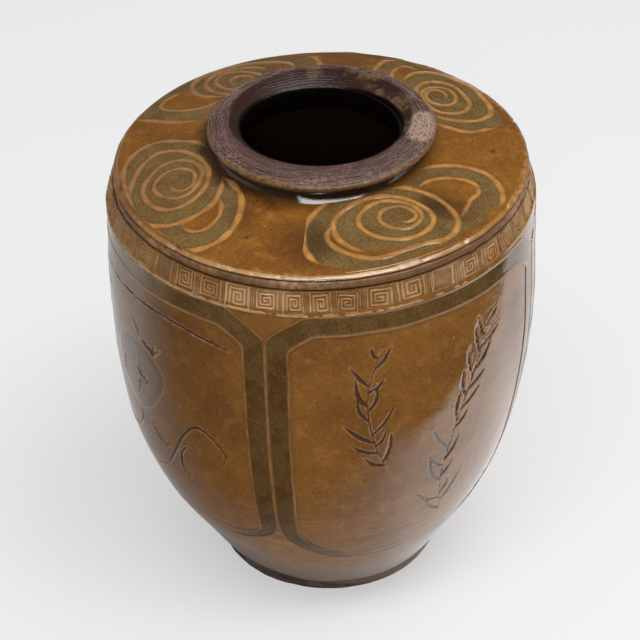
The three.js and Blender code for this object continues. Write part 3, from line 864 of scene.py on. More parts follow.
comb = COMB_DEPTH * np.cos(2 * np.pi * (place % 1 - 0.5) * pitch / COMB_PITCH)
sunk = np.clip((ridge + 0.35) / 0.7, 0, 1)
relief = np.where(inside, -STAMP_DEPTH * press * sunk, np.where(between, comb, 0.0))
relief = relief * np.clip((rise - 0.12) / 0.06, 0, 1) * np.clip((1 - rise) / 0.04, 0, 1)
smear = 0.35 * swell(angle, rise * 40, 61, turns=60) + 0.25 * swell(angle, rise * 40, 62, turns=140, pitch=12)
chip = np.clip(swell(angle, rise * 8, 63, turns=90, waves=9) - 0.35, 0, 1) * np.clip(1 - rise / 0.13, 0, 1)
hang = np.clip(1 - rise / 0.10, 0, 1) * (0.45 * swell(angle, 0 * rise, 64, turns=45) + 0.2)
radius = BAND_FOOT_RADIUS - BAND_LEAN * rise**1.1 + relief + smear
radius = radius - CHIP_DEPTH * chip - 0.8 * (1 - rise) ** 18
radius = radius - (PRESSED_LOW + PRESSED_MORE * rise) * side_on(angle, PRESSED_AT)
height = BAND_BOTTOM + (BAND_TOP - BAND_BOTTOM + slab_tilt(angle)) * rise - hang
wall_inside = BELLY_RADIUS - WALL
back_radius = np.array([BAND_FOOT_RADIUS - BAND_LEAN - 4, wall_inside, wall_inside, BELLY_RADIUS - 3])
back_height = np.array([BAND_TOP, BAND_TOP, BAND_BOTTOM, BAND_BOTTOM - 0.2])[:, None]
back_height = back_height + slab_tilt(turn) * (back_height > BAND_BOTTOM + 1)
grid = np.concatenate([around(radius, height, angle), around(back_radius[:, None], back_height, turn)])
sink = np.where(inside, ridge, np.where(between, 0.6 - 3 * comb, 1.2))
low = rise * (BAND_TOP - BAND_BOTTOM) + 1.6 * chip - 0.3 * smear
marks = over_back({"ridge": sink, "low": low}, len(back_radius))

BROKEN_EDGE = (0.500, 0.280, 0.140, 1)
band_finish, tree, shader, position = new_material("stamped band")
ridge, low = mark_of(tree, "ridge"), mark_of(tree, "low")
dab = mottle(position, 160.0, 3.0)
crest = times(ease(ridge, 0.45, -0.4), scaled(dab, 0.8, 0.12))
crest = scaled(ease(mottle(position, 34.0, 4.0), 0.40, 0.60), 0.50, crest)
lit_side = ease(reach_to(position, -90), 0.125, 0.045, 1.15, 0.40)
glaze_darkening = times(ease(ridge, 0.1, 0.9, 0.7), dab)
glaze = use_group(honey_glaze, Position=position, Pool=glaze_darkening, Thin=times(crest, lit_side))
slip = use_group(speckled_slip, Position=position, Brown=0.1, Shade=0.0)
stain = times(ease(mottle(position, 45.0, 3.0), 0.40, 0.62, 0.7), ease(ridge, 0.2, 0.9))
colour = blend(stain, glaze["Color"], slip["Color"])
low_edge = ease(low, 3.2, 2.2)
colour = blend(times(low_edge, ease(dab, 0.36, 0.54, 0.87, 0.42)), colour, BROKEN_EDGE)
colour = blend(ease(low, 1.3, 0.5, 0.85), colour, GLAZE_POOL_AND_SHADE)
rough = scaled(low_edge, 0.5, calc("ADD", glaze["Roughness"], 0.22))
surface(shader, colour, rough, glaze["Height"], GLAZE_BUMP, CLAY_IOR)
skin("stamped_band", grid, band_finish, ["fret_band"], marks)

# Shoulder: a nearly flat disc of clay that closes the barrel, luted on above the stamped band.
# Its edge is a plain fillet between two scored lines; the top is amber glaze, worn and chipped at the edge,
# with a painted highlight along the front of the crest.
EDGE_RADIUS = (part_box("shoulder_slab")[1] / MM).x
EDGE_BOTTOM = 322.0
EDGE_TOP = 332.4
NECK_RADIUS = 75.0
SHOULDER_RISE = 12.9
SHOULDER_COLUMNS = 900
SHOULDER_PITS = ((-49, -100, 1.9), (122, 0, 1.8), (5, -75, 1.5), (-62, -88, 1.2), (30, 60, 1.3))
EDGE_CREST = EDGE_RADIUS - 2.7
DRAWN_IN = 4.0
DRAWN_IN_AT = -105
DRAWN_FROM = 120.0
ROLL_HEIGHT = 3.8
ROLL_HALF = 3.0
EDGE_CHIP = 2.2
EDGE_CHIP_DROP = 1.4
SCORED_DARK = 0.85
PIT_DARK = 0.95


def drawn_in(radius, angle):
    """Radius in mm with the edge pressed in on the left, by less and less towards the neck."""
    share = np.clip((radius - DRAWN_FROM) / (EDGE_CREST - DRAWN_FROM), 0, 1)
    return radius - DRAWN_IN * share * side_on(angle, DRAWN_IN_AT)


def shoulder_height(radius, angle):
    """Height in mm of the shoulder's top: a cone from the edge up to the neck, slightly uneven."""
    cone = EDGE_TOP + (EDGE_RADIUS - radius) * SHOULDER_RISE / (EDGE_RADIUS - NECK_RADIUS)
    cone = cone + radius / EDGE_RADIUS * slab_tilt(angle)
    wave = 0.5 * swell(angle, radius, 71, turns=5, pitch=90)
    return cone + wave + 0.16 * swell(angle, radius, 72, turns=16, pitch=30)


CLOUD_LINES = {
    1: {
        "scroll": [
            (51.5, -86.5), (58, -88.5), (64, -85), (64.5, -79), (57, -73.8), (48, -75), (41.5, -80.5),
            (40.5, -88.5), (47, -94), (57, -95.4), (65, -90.5), (69, -82), (65, -73.5), (56, -69.3),
            (44, -69), (33.5, -75), (26.5, -85), (27, -94.5), (36, -103), (50, -106), (64, -102.5),
            (74.5, -92), (76.5, -81), (69, -71.2), (56, -65), (42, -64.6), (28, -70), (15.5, -80.5),
            (9.3, -92), (11, -104.5), (20, -114), (33, -119),
        ],
        "round": [
            (9, -93), (5, -101), (6.5, -110), (15, -118.3), (28, -123.6), (41, -123.4), (56, -116),
            (70, -109), (84, -103.5), (92, -93), (93, -82), (88, -71), (79, -61.5), (67, -56),
            (56, -54.5), (44, -58),
        ],
        "lens": [
            (67, -53), (73, -46), (81, -41), (91, -38.5), (101, -39.2), (108, -44), (109, -52),
            (103.5, -60), (100.5, -68), (97, -77), (92.5, -84),
        ],
        "lobe": [
            (70, -33), (80, -27), (95, -23.6), (110, -26), (120, -34), (125.5, -48), (124, -61),
            (119, -68),
        ],
        "tail": [(9, -69), (0, -77), (-7.5, -88), (-11.5, -100), (-11, -113), (-6, -124), (3, -132)],
        "outline": [
            ("tail", slice(6)),
            [
                (4, -131.5), (18, -134.5), (32, -133), (46, -129.5), (58, -125), (64, -120), (76, -113),
                (88, -106), (96, -96), (107, -87), (112, -79), (114, -71),
            ],
            ("lobe", slice(6, None, -1)),
            [(62, -44), (50, -55), (30, -66)],
        ],
        "bare_moon": [
            (8, -96), (5.5, -105), (9, -113), (17, -119), (30, -123), (44, -121.5), (55, -115),
            (45, -115), (33, -117.5), (20, -112.5), (12, -104),
        ],
    },
    4: {
        "scroll": [
            (-99, -33), (-102, -37), (-98.5, -43), (-92, -44.3), (-86.3, -39.5), (-85, -31),
            (-87.5, -23.5), (-96, -18.5), (-105, -20.5), (-112, -29), (-113.2, -38), (-108, -46.7),
            (-98, -51.5), (-88, -48), (-81.5, -36), (-80, -25), (-86, -13.8), (-97, -8.2), (-108, -10.5),
            (-116, -21), (-121, -35), (-118.5, -49), (-110, -60), (-99, -63), (-87, -57), (-78, -44.5),
            (-75.5, -29), (-80, -13.5), (-91, 0), (-103, 6.2), (-114, 4.4), (-122, -6), (-127, -19),
            (-130, -34), (-129, -48),
        ],
        "round": [
            (-77, 3), (-86, 12), (-98, 17.5), (-112, 20.5), (-125, 14.8), (-133.5, 0), (-135.7, -17),
            (-132.5, -38), (-127, -58), (-119.5, -72.6), (-106, -79), (-92, -77), (-79, -69.5),
            (-71, -60.5), (-66.5, -47), (-66, -34),
        ],
        "lens": [
            (-68.6, -56), (-66.3, -66), (-68.5, -77.5), (-76, -87), (-85, -89), (-91.5, -84.5),
            (-95, -78),
        ],
        "lobe": [
            (-66, -36), (-57.5, -47.5), (-52.7, -62), (-55, -81), (-63, -96), (-75, -105), (-88, -107),
            (-98, -101), (-105.5, -92), (-110, -79),
        ],
        "tail": [(-77, 3), (-84, 10), (-90, 14)],
        "outline": [
            ("round", slice(10)),
            ("lobe", slice(None, 0, -1)),
            [(-66, -34), (-73, -18), (-76, -6)],
        ],
        "bare_moon": None,
    },
    2: {
        "scroll": [
            (90.5, 66), (93.2, 72), (91, 79), (85, 81), (79.8, 76), (78.3, 68), (82, 59.5), (90, 56.3),
            (97, 60.5), (100, 70), (97.5, 80.5), (90, 86), (81, 83), (75.3, 74), (76, 63), (80, 52.5),
            (87, 45.5), (97, 45.8), (105.5, 51.5), (109.3, 63), (106, 76.5), (99, 90), (89, 95.2),
            (78.5, 92.2), (72, 82), (71, 66), (74, 50), (80, 40),
        ],
        "round": [
            (80, 40), (92, 36), (104, 36), (115, 40.5), (123, 50), (124, 62), (119.5, 75), (114, 88),
            (104, 99), (93, 108), (82, 111.2), (71, 107.5), (65, 99), (62.5, 89),
        ],
        "lens": [(58, 88), (55, 97), (55.5, 108), (60, 117.5), (66, 120.3), (72, 116.5), (77, 111)],
        "lobe": [(41, 106), (43.5, 115), (47, 124), (53, 131), (64, 131)],
        "tail": [(79, 30), (88, 26.5), (99, 22), (108, 22.3), (118, 27.5), (129, 33.5)],
        "outline": [
            [(75, 32)],
            ("tail", slice(None)),
            [(133, 40), (129, 55), (126, 66), (119, 81), (108, 97), (98, 107), (86, 115), (76, 121)],
            ("lobe", slice(None, None, -1)),
            [(48, 92), (58, 74), (70, 50)],
        ],
        "bare_moon": None,
    },
    3: {
        "scroll": [
            (-52, 97), (-58, 95), (-62, 99), (-61.5, 105), (-56.5, 108.8), (-49, 108.3), (-45.5, 101),
            (-50, 90), (-60, 86), (-67.5, 91), (-72.5, 100), (-72.5, 108), (-66.5, 117), (-58, 118.3),
            (-49, 115), (-40, 107), (-40, 95), (-50, 83), (-64, 79), (-74, 86), (-79.5, 96), (-79.5, 106),
            (-73.5, 116.7), (-63, 123), (-50, 124.6), (-40, 121), (-31, 113),
        ],
        "round": [
            (-65, 76), (-72, 77), (-81, 81), (-88, 89), (-90.3, 100), (-87, 110), (-79, 118), (-66, 126),
            (-50, 131), (-34, 131.5), (-22, 129), (-16, 122), (-16, 112),
        ],
        "lens": [
            (-67, 74), (-74, 65.5), (-85, 60.6), (-98, 62), (-108, 67.3), (-112.3, 74), (-108.5, 83),
            (-100, 90.3), (-91, 94),
        ],
        "lobe": [(-132, 60), (-120, 54.5), (-105, 47.3), (-92, 43.6), (-80, 43)],
        "tail": [(-8, 141), (-1.5, 137.5), (2.5, 128), (2.5, 116), (-1, 104), (-6, 90)],
        "outline": [
            ("tail", slice(5)),
            [(-6, 84), (-20, 74), (-50, 60), (-66, 48)],
            ("lobe", slice(None, 0, -1)),
            [
                (-130, 60), (-122, 74), (-113, 88), (-100, 102), (-84, 117), (-66, 130), (-46, 137),
                (-24, 141),
            ],
        ],
        "bare_moon": [(-20, 120), (-30, 127), (-42, 126.5), (-38, 123.5), (-29, 119), (-24, 112)],
    },
}
SCROLL_HALF = (1.6, 2.2)
ROUND_HALF = 2.2
LENS_HALF = 1.7
LOBE_HALF = 2.3
TAIL_HALF = 2.3
LINE_END = 14.0
CLOUD_SHIFT = np.array([0.0, -5.0])


def plan_of(radius, angle):
    """Plan position in mm as the camera sees it, x to its right and y away from it, counted from the
    clouds' origin."""
    seen = angle - PHOTO_SIDE
    return np.stack([radius * np.sin(seen), -radius * np.cos(seen)], axis=-1) - CLOUD_SHIFT


def slip_outline(lines):
    """Closed outline of a cloud's slip, from stretches of its own lines and the points between them."""
    parts = lines["outline"]
    return np.vstack([lines[part[0]][part[1]] if isinstance(part, tuple) else part for part in parts])


def cloud_gaps(points, cloud):
    """Gap in mm to the nearest trailed line of a cloud, and to the edge of its slip, negative in the
    slip; the lens between scroll and lobe, and the moon, are left bare."""
    lines = CLOUD_LINES[cloud]
    line = np.full(len(points), FAR)
    widths = {
        "scroll": SCROLL_HALF, "round": (ROUND_HALF,) * 2, "lens": (LENS_HALF,) * 2, "lobe": (LOBE_HALF,) * 2,
        "tail": (TAIL_HALF,) * 2,
    }
    for label, (first, last) in widths.items():
        path = curve(lines[label], 6)
        run = np.append(0, np.cumsum(np.hypot(*np.diff(path, axis=0).T)))
        ends = np.clip(np.minimum(run + 3, run[-1] - run) / LINE_END, 0, 1)
        hand = 1 + 0.16 * swell(run / 9, 0.0, 130 + cloud, turns=3)
        half = (first + (last - first) * run / run[-1]) * hand * (0.2 + 0.8 * ends) - 1.0 * (1 - ends)
        line = np.minimum(line, gap_to(points, path, half))
    slip = area_gap(points, curve(slip_outline(lines), 4))
    ring = area_gap(points, np.vstack([curve(lines["lens"], 4), curve(lines["round"], 4)[::-1][:1]]))
    rounded = area_gap(points, curve(lines["round"], 4))
    slip = np.maximum(slip, -np.maximum(ring, -rounded))
    if lines["bare_moon"]:
        slip = np.maximum(slip, -area_gap(points, curve(lines["bare_moon"] + lines["bare_moon"][:1], 4)))
    return line, slip


turn = full_turn(SHOULDER_COLUMNS)
edge = np.array([
    (-2.2, -0.3), (-1.4, 0.0), (-1.3, 0.35), (-0.2, 0.8), (0.5, 1.4), (0.85, 2.4), (0.95, 3.6),
    (0.9, 4.8), (0.75, 5.9), (0.3, 6.7), (-1.0, 7.15), (-1.5, 7.5), (-0.9, 7.9), (0.0, 8.15), (0.4, 8.5),
    (0.1, 9.0), (-0.6, 9.55), (-1.4, 10.05), (-2.1, 10.45),
])
knocked = 0.25 + 0.9 * np.maximum(side_on(turn, 70) ** 2, side_on(turn, -40) ** 8)
scuffed = 0.28 * side_on(turn, -38) ** 12
chips = knocked * np.clip(swell(turn, 0.0, 73, turns=110, waves=11) - 0.30 + scuffed, 0, 1)
ragged = 0.35 * swell(turn, 0.0, 74, turns=50)
edge_share = np.linspace(0, 1, len(edge))[:, None]
rolled = np.exp(-(((edge[:, 1:] - ROLL_HEIGHT) / ROLL_HALF) ** 4))
uneven = 0.50 * swell(turn, edge[:, 1:] * 6, 76, turns=60)
uneven = uneven + 0.40 * swell(turn, edge[:, 1:] * 9, 77, turns=150)
edge_radius = EDGE_RADIUS + edge[:, :1] + edge_share**2 * (ragged - EDGE_CHIP * chips)
edge_radius = drawn_in(edge_radius + rolled * (uneven - 0.15), turn)
wavy = 0.3 * swell(turn, 0.0, 75, turns=36) - EDGE_CHIP_DROP * chips
edge_height = EDGE_BOTTOM + edge[:, 1:] + edge_share**2 * wavy + slab_tilt(turn)
slope = np.linspace(EDGE_CREST - 2, NECK_RADIUS - 4, 48)
top_radius = drawn_in(np.concatenate([[EDGE_CREST, EDGE_CREST - 0.9], slope])[:, None], turn)
top_height = shoulder_height(top_radius, turn)
settle = np.clip((top_radius - (EDGE_CREST - 3)) / 3, 0, 1)
top_height = top_height - settle * 0.25
under = np.array([
    (NECK_RADIUS - 12, 0.0), (NECK_RADIUS - 12, -9.0), (NECK_RADIUS + 10, -11.0), (EDGE_RADIUS - 20, -9.0),
])
under_height = shoulder_height(under[:, :1], 0 * turn) + under[:, 1:]
under_height = np.where(under[:, :1] > 120, EDGE_BOTTOM - 3, under_height)
grid = np.concatenate([
    around(edge_radius, edge_height, turn), around(top_radius, top_height, turn),
    around(under[:, :1], under_height, turn),
])
all_radius = np.concatenate([edge_radius, top_radius])
plan = plan_of(all_radius, turn).reshape(-1, 2)
near_slip = np.full(len(plan), FAR)
for cloud in CLOUD_LINES:
    line, slip = cloud_gaps(plan, cloud)
    near_slip = np.minimum(near_slip, np.minimum(line, slip))
near_slip = near_slip.reshape(all_radius.shape)
edge_rows = np.zeros(all_radius.shape)
edge_rows[:len(edge) - 6] = 1
scored = np.zeros(all_radius.shape)
scored[:len(edge)] = SCORED_DARK * np.clip(-0.3 - edge[:, :1], 0, 1) * (edge[:, 1:] < 8.0)
for pit_x, pit_y, pit_size in SHOULDER_PITS:
    away = np.hypot(*(plan - (pit_x, pit_y)).T).reshape(all_radius.shape)
    scored = np.maximum(scored, PIT_DARK * np.exp(-((away / pit_size) ** 2)))
# Painted highlight: the crest of the edge is paled most at the front, over the thin glaze there and the pale
# chips on the left.
crest_rows = np.exp(-(((np.arange(len(all_radius)) - len(edge) + 2.5) / 2.0) ** 4))[:, None]
crest_share = 0.25 + 0.75 * side_on(turn, 0) ** 3 + 1.3 * chips * side_on(turn, -40)
crested = crest_rows * crest_share.clip(0, 1)
rim_gap = EDGE_RADIUS - all_radius - 1.2 * chips
marks = over_back({"slip_gap": near_slip, "rim_gap": rim_gap}, len(under))
marks.update(over_back({"fillet": edge_rows, "groove": scored, "crested": crested}, len(under), 0.0))

shoulder_finish, tree, shader, position = new_material("amber shoulder")
fillet, groove, crested = (mark_of(tree, label) for label in ("fillet", "groove", "crested"))
dab = mottle(position, 190.0, 4.0)
pooled_and_shaded = use_group(pooling_and_side_shade, Position=position, Gap=mark_of(tree, "slip_gap"))["Pool"]
# Thin glaze near the rim, and the painted highlight along the crest.
thin_and_lit = times(ease(mark_of(tree, "rim_gap"), 5.5, 1.5, 0.7), ease(dab, 0.40, 0.62))
thin_and_lit = times(thin_and_lit, ease(mottle(position, 16.0, 2.0), 0.40, 0.62))
thin_and_lit = most(thin_and_lit, times(crested, scaled(dab, 0.8, 0.45)))
glaze = use_group(honey_glaze, Position=position, Pool=most(pooled_and_shaded, groove), Thin=thin_and_lit)
slip_shade = most(ease(dab, 0.58, 0.40, 0.3), groove)
slip = use_group(speckled_slip, Position=position, Brown=0.7, Shade=slip_shade)
share = times(fillet, ease(mottle(position, 40.0, 3.0), 0.38, 0.60, 0.48, 0.08))
colour = blend(share, glaze["Color"], slip["Color"])
rough = scaled(fillet, 0.42, scaled(crested, 0.10, glaze["Roughness"]))
surface(shader, colour, rough, glaze["Height"], GLAZE_BUMP, GLAZE_IOR)
skin("shoulder_disc", grid, shoulder_finish, ["shoulder_slab"], marks)

# Cloud scrolls: four scrolling clouds in olive slip on the shoulder, each drawn with trailed lines.
# The slip is speckled and grey-green; the lines stand up under the glaze and break to pale amber.
CLOUD_SPAN = math.radians(41)
CLOUD_CELL = 0.62
CLOUD_SINK = 0.7
CLOUD_FILM = 0.04
CLOUD_MARGIN = 2.6
CLOUD_BACK = 2.0
CLOUD_MIDDLE_RADIUS = 110

cloud_finish = slip_surface("olive slip clouds", 0.36, 0.42, LINE_AMBER)
cloud_radius = np.arange(EDGE_CREST - 0.6, NECK_RADIUS - 2, -CLOUD_CELL)[:, None]
for cloud in CLOUD_LINES:
    scroll = slip_outline(CLOUD_LINES[cloud])
    bearing = np.arctan2(scroll[:, 0], -scroll[:, 1])
    middle = np.arctan2(np.sin(bearing).mean(), np.cos(bearing).mean()) + PHOTO_SIDE
    columns = round(2 * CLOUD_SPAN * CLOUD_MIDDLE_RADIUS / CLOUD_CELL)
    turn = middle + np.linspace(-CLOUD_SPAN, CLOUD_SPAN, columns)
    drawn = drawn_in(cloud_radius, turn)
    points = plan_of(drawn, turn)
    line, slip = (gap.reshape(points.shape[:2]) for gap in cloud_gaps(points.reshape(-1, 2), cloud))
    press = 0.85 + 0.25 * swell(turn * 3, cloud_radius, 80 + cloud, turns=12, pitch=40)
    crest = np.clip((0.7 - line) / 2.6, 0, 1)
    level = SLIP_RISE * np.clip((0.5 - slip) / 2.5, 0, 1)
    rise = CLOUD_FILM + level + LINE_RISE * press * crest**2 * (3 - 2 * crest)
    past = np.clip((np.minimum(line, slip) - CLOUD_MARGIN) / 0.8, 0, 1)
    rise = np.where(past > 0, CLOUD_FILM - (CLOUD_FILM + CLOUD_SINK) * past, rise)
    rise[:, [0, -1]] = -CLOUD_SINK
    rise[[0, -1]] = -CLOUD_SINK
    top = shoulder_height(drawn, turn) + rise
    back = np.stack([shoulder_height(drawn[row], turn) - CLOUD_BACK for row in (-1, 0)])
    grid = np.concatenate([around(drawn, top, turn), around(drawn[[-1, 0]], back, turn)])
    marks = with_back({"line": line, "slip": slip})
    skin(f"slip_cloud_{cloud}", grid, cloud_finish, [f"cloud_scroll_{cloud}"], marks, caps=True)

# Neck: a short collar thrown on to the shoulder, hollowed to a cove below the lip.
# Glaze lies thick in the cove, and painted shade darkens it further up under the lip and paints the inside
# black; the foot slopes out at the front and is steep at the sides.
MOUTH_RADIUS = 56.4
MOUTH_SHADE_BLACK = (0.004, 0.002, 0.002, 1)
NECK_COLUMNS = 300
NECK_ROUGHER = 0.08
NECK_STEEP = 0.72
SLOPE_AT = 9
SLOPE_HALF = 24
turn = full_turn(NECK_COLUMNS)
base = EDGE_TOP + SHOULDER_RISE
section = np.array([
    (79.6, -1.6), (78.4, -0.6), (77.3, 0.2), (76.3, 1.0), (75.3, 1.8), (74.3, 2.6), (73.3, 3.4),
    (72.5, 4.1), (71.9, 4.8), (71.5, 5.5), (71.4, 6.2), (71.7, 6.9), (72.7, 7.4), (73.4, 8.2),
    (75.0, 8.8), (75.0, 9.6), (60.0, 9.6), (57.2, 9.0), (56.6, 7.0), (56.6, 3.0), (57.0, -2.0),
    (58.0, -7.0), (60.0, -10.0), (66.0, -9.0), (74.0, -5.0),
])
radius, height = section[:, :1], base + section[:, 1:]
outside = np.clip((radius - 70) / 4, 0, 1)
bearing = np.degrees((turn - PHOTO_SIDE + np.pi) % (2 * np.pi) - np.pi)
steep = 1 - np.exp(-(((bearing - SLOPE_AT + 4 * swell(turn, 0.0, 104, turns=20)) / SLOPE_HALF) ** 4))
radius = radius - NECK_STEEP * steep * np.clip(radius - 72.3, 0, 9) * (section[:, 1:] < 4.5)
dents = 0.35 * swell(turn, height, 101, turns=9) + 0.15 * swell(turn, height, 102, turns=30)
radius = radius + outside * dents
neck_finish, tree, shader, position = new_material("pooled neck glaze")
glaze = use_group(honey_glaze, Position=position, Pool=mark_of(tree, "glaze_darkening"), Thin=0.0)
colour = blend(mark_of(tree, "dark"), glaze["Color"], MOUTH_SHADE_BLACK)
rough = calc("ADD", glaze["Roughness"], NECK_ROUGHER)
surface(shader, colour, rough, glaze["Height"], GLAZE_BUMP, GLAZE_IOR)
# Painted shade: the pooled glaze darkens up towards the lip, and the inside of the neck is painted black.
glaze_darkening = np.clip(0.72 + 0.10 * (height - base) + 0.12 * swell(turn, height, 103, turns=12), 0.6, 0.94)
marks = {"glaze_darkening": glaze_darkening, "dark": 1.0 * (radius < 70)}
skin("cove_neck", around(radius, height, turn), neck_finish, ["neck_collar"], marks)

# Lip: a flat rolled rim on the neck, wiped clean of glaze so that a cover could be luted over the mouth.
# Bare purple-brown clay with the marks of the wheel, worn grey, and a rind of glaze left on its outer edge.
lip_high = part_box("mouth_rim")[1] / MM
LIP_RADIUS = lip_high.x
LIP_TOP = lip_high.z
LIP_COLUMNS = 480
turn = full_turn(LIP_COLUMNS)
LIP_SHIFT = 2.6
FRONT_CREST = 60.0
FRONT_FALL = 3.0
BACK_CREST = 76.0
BACK_FALL = 6.5
BACK_DROP = 2.0
SCAR_AT = math.radians(82)
SCAR_RADIUS = 72.0
SCAR_REACH = 13
SCAR_ALONG = 46
DIPPED_FRONT = 1.5
DIPPED_BACK = 17

seen = (turn - PHOTO_SIDE) % (2 * np.pi)
backward = (1 - np.cos(seen)) / 2
crown = np.linspace(LIP_RADIUS - 3.2, MOUTH_RADIUS + 0.7, 36)[:, None]
crest = FRONT_CREST + (BACK_CREST - FRONT_CREST) * backward
outward = np.clip((crown - crest) / (LIP_RADIUS - 1.4 - FRONT_CREST), 0, 1)
inward = np.clip((crest - crown) / (BACK_CREST - MOUTH_RADIUS - 0.7), 0, 1)
dome = -FRONT_FALL * outward**1.6 - BACK_FALL * inward**1.6 - BACK_DROP * backward
bead = np.array([
    (73.5, -9.9), (75.4, -9.5), (77.2, -8.8), (78.5, -7.9), (79.4, -6.9), (79.9, -5.9), (80.0, -5.1),
    (79.7, -4.4), (79.2, -3.9), (78.5, -3.4), (77.7, -3.0),
])
throat = np.array([(0.2, -0.6), (-0.2, -2.0), (0.0, -9.5), (1.5, -10.5)])
throat_height = np.minimum(dome[-1:] + throat[:, 1:], -3.0 + throat[:, 1:] * 0.4)
bead_height = bead[:, 1:] - BACK_DROP * backward * np.clip((bead[:, 1:] + 9.9) / 6, 0, 1)
radius = np.vstack([bead[:, :1], crown, MOUTH_RADIUS + throat[:, :1]])
height = LIP_TOP + np.vstack([bead_height, dome, throat_height])
wave = 0.6 * swell(turn, 0.0, 111, turns=3) + 0.3 * swell(turn, 0.0, 112, turns=10)
ridges = 0.12 * np.sin(radius * 2.9 + 2 * swell(turn, 0.0, 113, turns=4)) * (np.abs(radius - 68) < 9)
height = height + 0.8 * (wave - wave.max()) * np.clip((height - LIP_TOP + 9) / 9, 0, 1) + ridges
radius = radius + 0.5 * swell(turn, height, 114, turns=4) + 0.3 * swell(turn, height, 115, turns=26)
rind = radius - (LIP_RADIUS - 2.6) + 0.7 * swell(turn, height, 116, turns=20)
rind = rind + 0.5 * swell(turn, height, 117, turns=60)
scar = SCAR_REACH - np.hypot((seen - SCAR_AT) * SCAR_ALONG, radius - SCAR_RADIUS)
scar = scar + 2.2 * swell(turn, radius * 6, 118, turns=60)
glazed = MOUTH_RADIUS + DIPPED_FRONT + DIPPED_BACK * backward**1.6 + 1.8 * swell(turn, 0.0, 119, turns=9)
marks = {"rind": rind, "scar": scar, "mouth": glazed - radius, "throat": MOUTH_RADIUS + 2.5 - radius}
grid = around(radius, height, turn) + LIP_SHIFT * towards(90)

WORN_SCAR = (0.400, 0.275, 0.205, 1)
RIND_OLIVE = (0.200, 0.122, 0.052, 1)
LIP_BROWN = (0.030, 0.014, 0.011, 1)
LIP_MAROON = (0.068, 0.030, 0.026, 1)
LIP_OCHRE = (0.150, 0.088, 0.040, 1)
LIP_BUMP = 0.00035
lip_finish, tree, shader, position = new_material("wiped lip")
clay = use_group(fired_clay, Position=position)
glaze = use_group(honey_glaze, Position=position, Pool=0.55, Thin=0.0)
rind, scar, throat = (mark_of(tree, label) for label in ("rind", "scar", "throat"))
dab = mottle(position, 240.0, 4.0)
flake = times(ease(scar, -2.0, 2.5, 0.85), ease(mottle(position, 620.0, 3.0, 0.7), 0.36, 0.54))
colour = blend(ease(throat, -15.0, -4.0, 0.55), clay["Color"], LIP_MAROON)
colour = blend(flake, colour, WORN_SCAR)
colour = blend(times(ease(rind, -1.8, 0.4, 0.75), ease(dab, 0.44, 0.62)), colour, RIND_OLIVE)
dip = ease(rind, 0.6, 2.2)
colour = blend(dip, colour, blend(ease(dab, 0.35, 0.65, 0.6), glaze["Color"], RIND_OLIVE))
stain = ease(mottle(position, 55.0, 5.0, 0.65), 0.46, 0.62)
stain = times(stain, ease(reach_to(position, 120), 0.01, 0.05, 0.8, 0.05))
turned_in = ease(mark_of(tree, "mouth"), -1.2, 1.6)
colour = blend(turned_in, colour, blend(stain, LIP_BROWN, LIP_OCHRE))
# Painted shade: the throat inside the lip's edge is painted black.
colour = blend(ease(throat, 0.0, 1.6), colour, MOUTH_SHADE_BLACK)
rough = scaled(turned_in, -0.44, scaled(dip, -0.42, 0.56))
surface(shader, colour, rough, clay["Height"], LIP_BUMP, CLAY_IOR)
skin("rolled_lip", grid, lip_finish, ["mouth_rim"], marks)

# Floor: a pale sweep that the jar stands on; to the glaze's reflections it glows, with painted shadow round
# the foot.
# A dark card lies on it in front of the jar, hidden from the camera and casting no shadow: a painted dark
# reflection in the front of the glaze.
FLOOR_REACH = 7.0
FLOOR_GREY = (0.83, 0.83, 0.83, 1)
FLOOR_GLOW = 0.48
FLOOR_REFLECTED = 1.22
FLOOR_REFLECTED_LEFT = 0.30
FLOOR_REFLECTED_BACK = 0.50
FLOOR_SHADED = (0.38, 0.38, 0.38, 1)
CARD_LIFT = 2.0
CARD_SCALE = 20.0
CARD_FEATHER = 120.0
CARD_EDGE = 16.0
FEATHER_FROM = 260
FEATHER_SPAN = 320
CARD_REACH = 1300
CARD_FAR_SIDE = 500
CARD_COLUMNS = 181
CARD_ROWS = 121
CARD_CORNERS = [
    (540, 110), (492, 60), (455, -95), (318, -190), (235, -225), (150, -252), (70, -195), (35, -142),
    (0, -107), (-60, -75), (-110, -45), (-200, -25), (-420, -20), (-2500, -20), (-2500, -2500),
    (2500, -2500), (2500, 110),
]


def stage_piece(name, points, faces, material):
    """Piece of the stage, from points in metres."""
    mesh = bpy.data.meshes.new(name)
    mesh.from_pydata(points, [], faces)
    mesh.materials.append(material)
    piece = put_in(name, mesh)
    return piece


floor_finish, tree, shader, position = new_material("pale floor")
seen = tree.nodes.new("ShaderNodeLightPath").outputs
lit = most(seen["Is Camera Ray"], seen["Is Glossy Ray"])
feed(shader.inputs["Base Color"], blend(lit, FLOOR_GREY, FLOOR_SHADED))
# Painted reflection: to glossy rays the floor glows, less to the left and behind, and is darkened round the
# foot as a painted shadow.
rightward = FLOOR_REFLECTED - FLOOR_REFLECTED_LEFT
reflected = ease(reach_to(position, 180), 0.02, 0.16, rightward - FLOOR_REFLECTED_BACK, rightward)
reflected = scaled(ease(reach_to(position, 90), -0.15, 0.42), reflected, FLOOR_REFLECTED_LEFT)
near_foot = scaled(reach_to(position, 90), 0.09, from_axis(position))
reflected = times(reflected, ease(near_foot, 0.060, 0.092))
glow = times(seen["Is Camera Ray"], FLOOR_GLOW)
feed(shader.inputs["Emission Strength"], scaled(seen["Is Glossy Ray"], reflected, glow))
shader.inputs["Emission Color"].default_value = (1, 1, 1, 1)
shader.inputs["Roughness"].default_value = 0.9
shader.inputs["Specular IOR Level"].default_value = 0.0
front = [(-FLOOR_REACH, -FLOOR_REACH, 0), (FLOOR_REACH, -FLOOR_REACH, 0)]
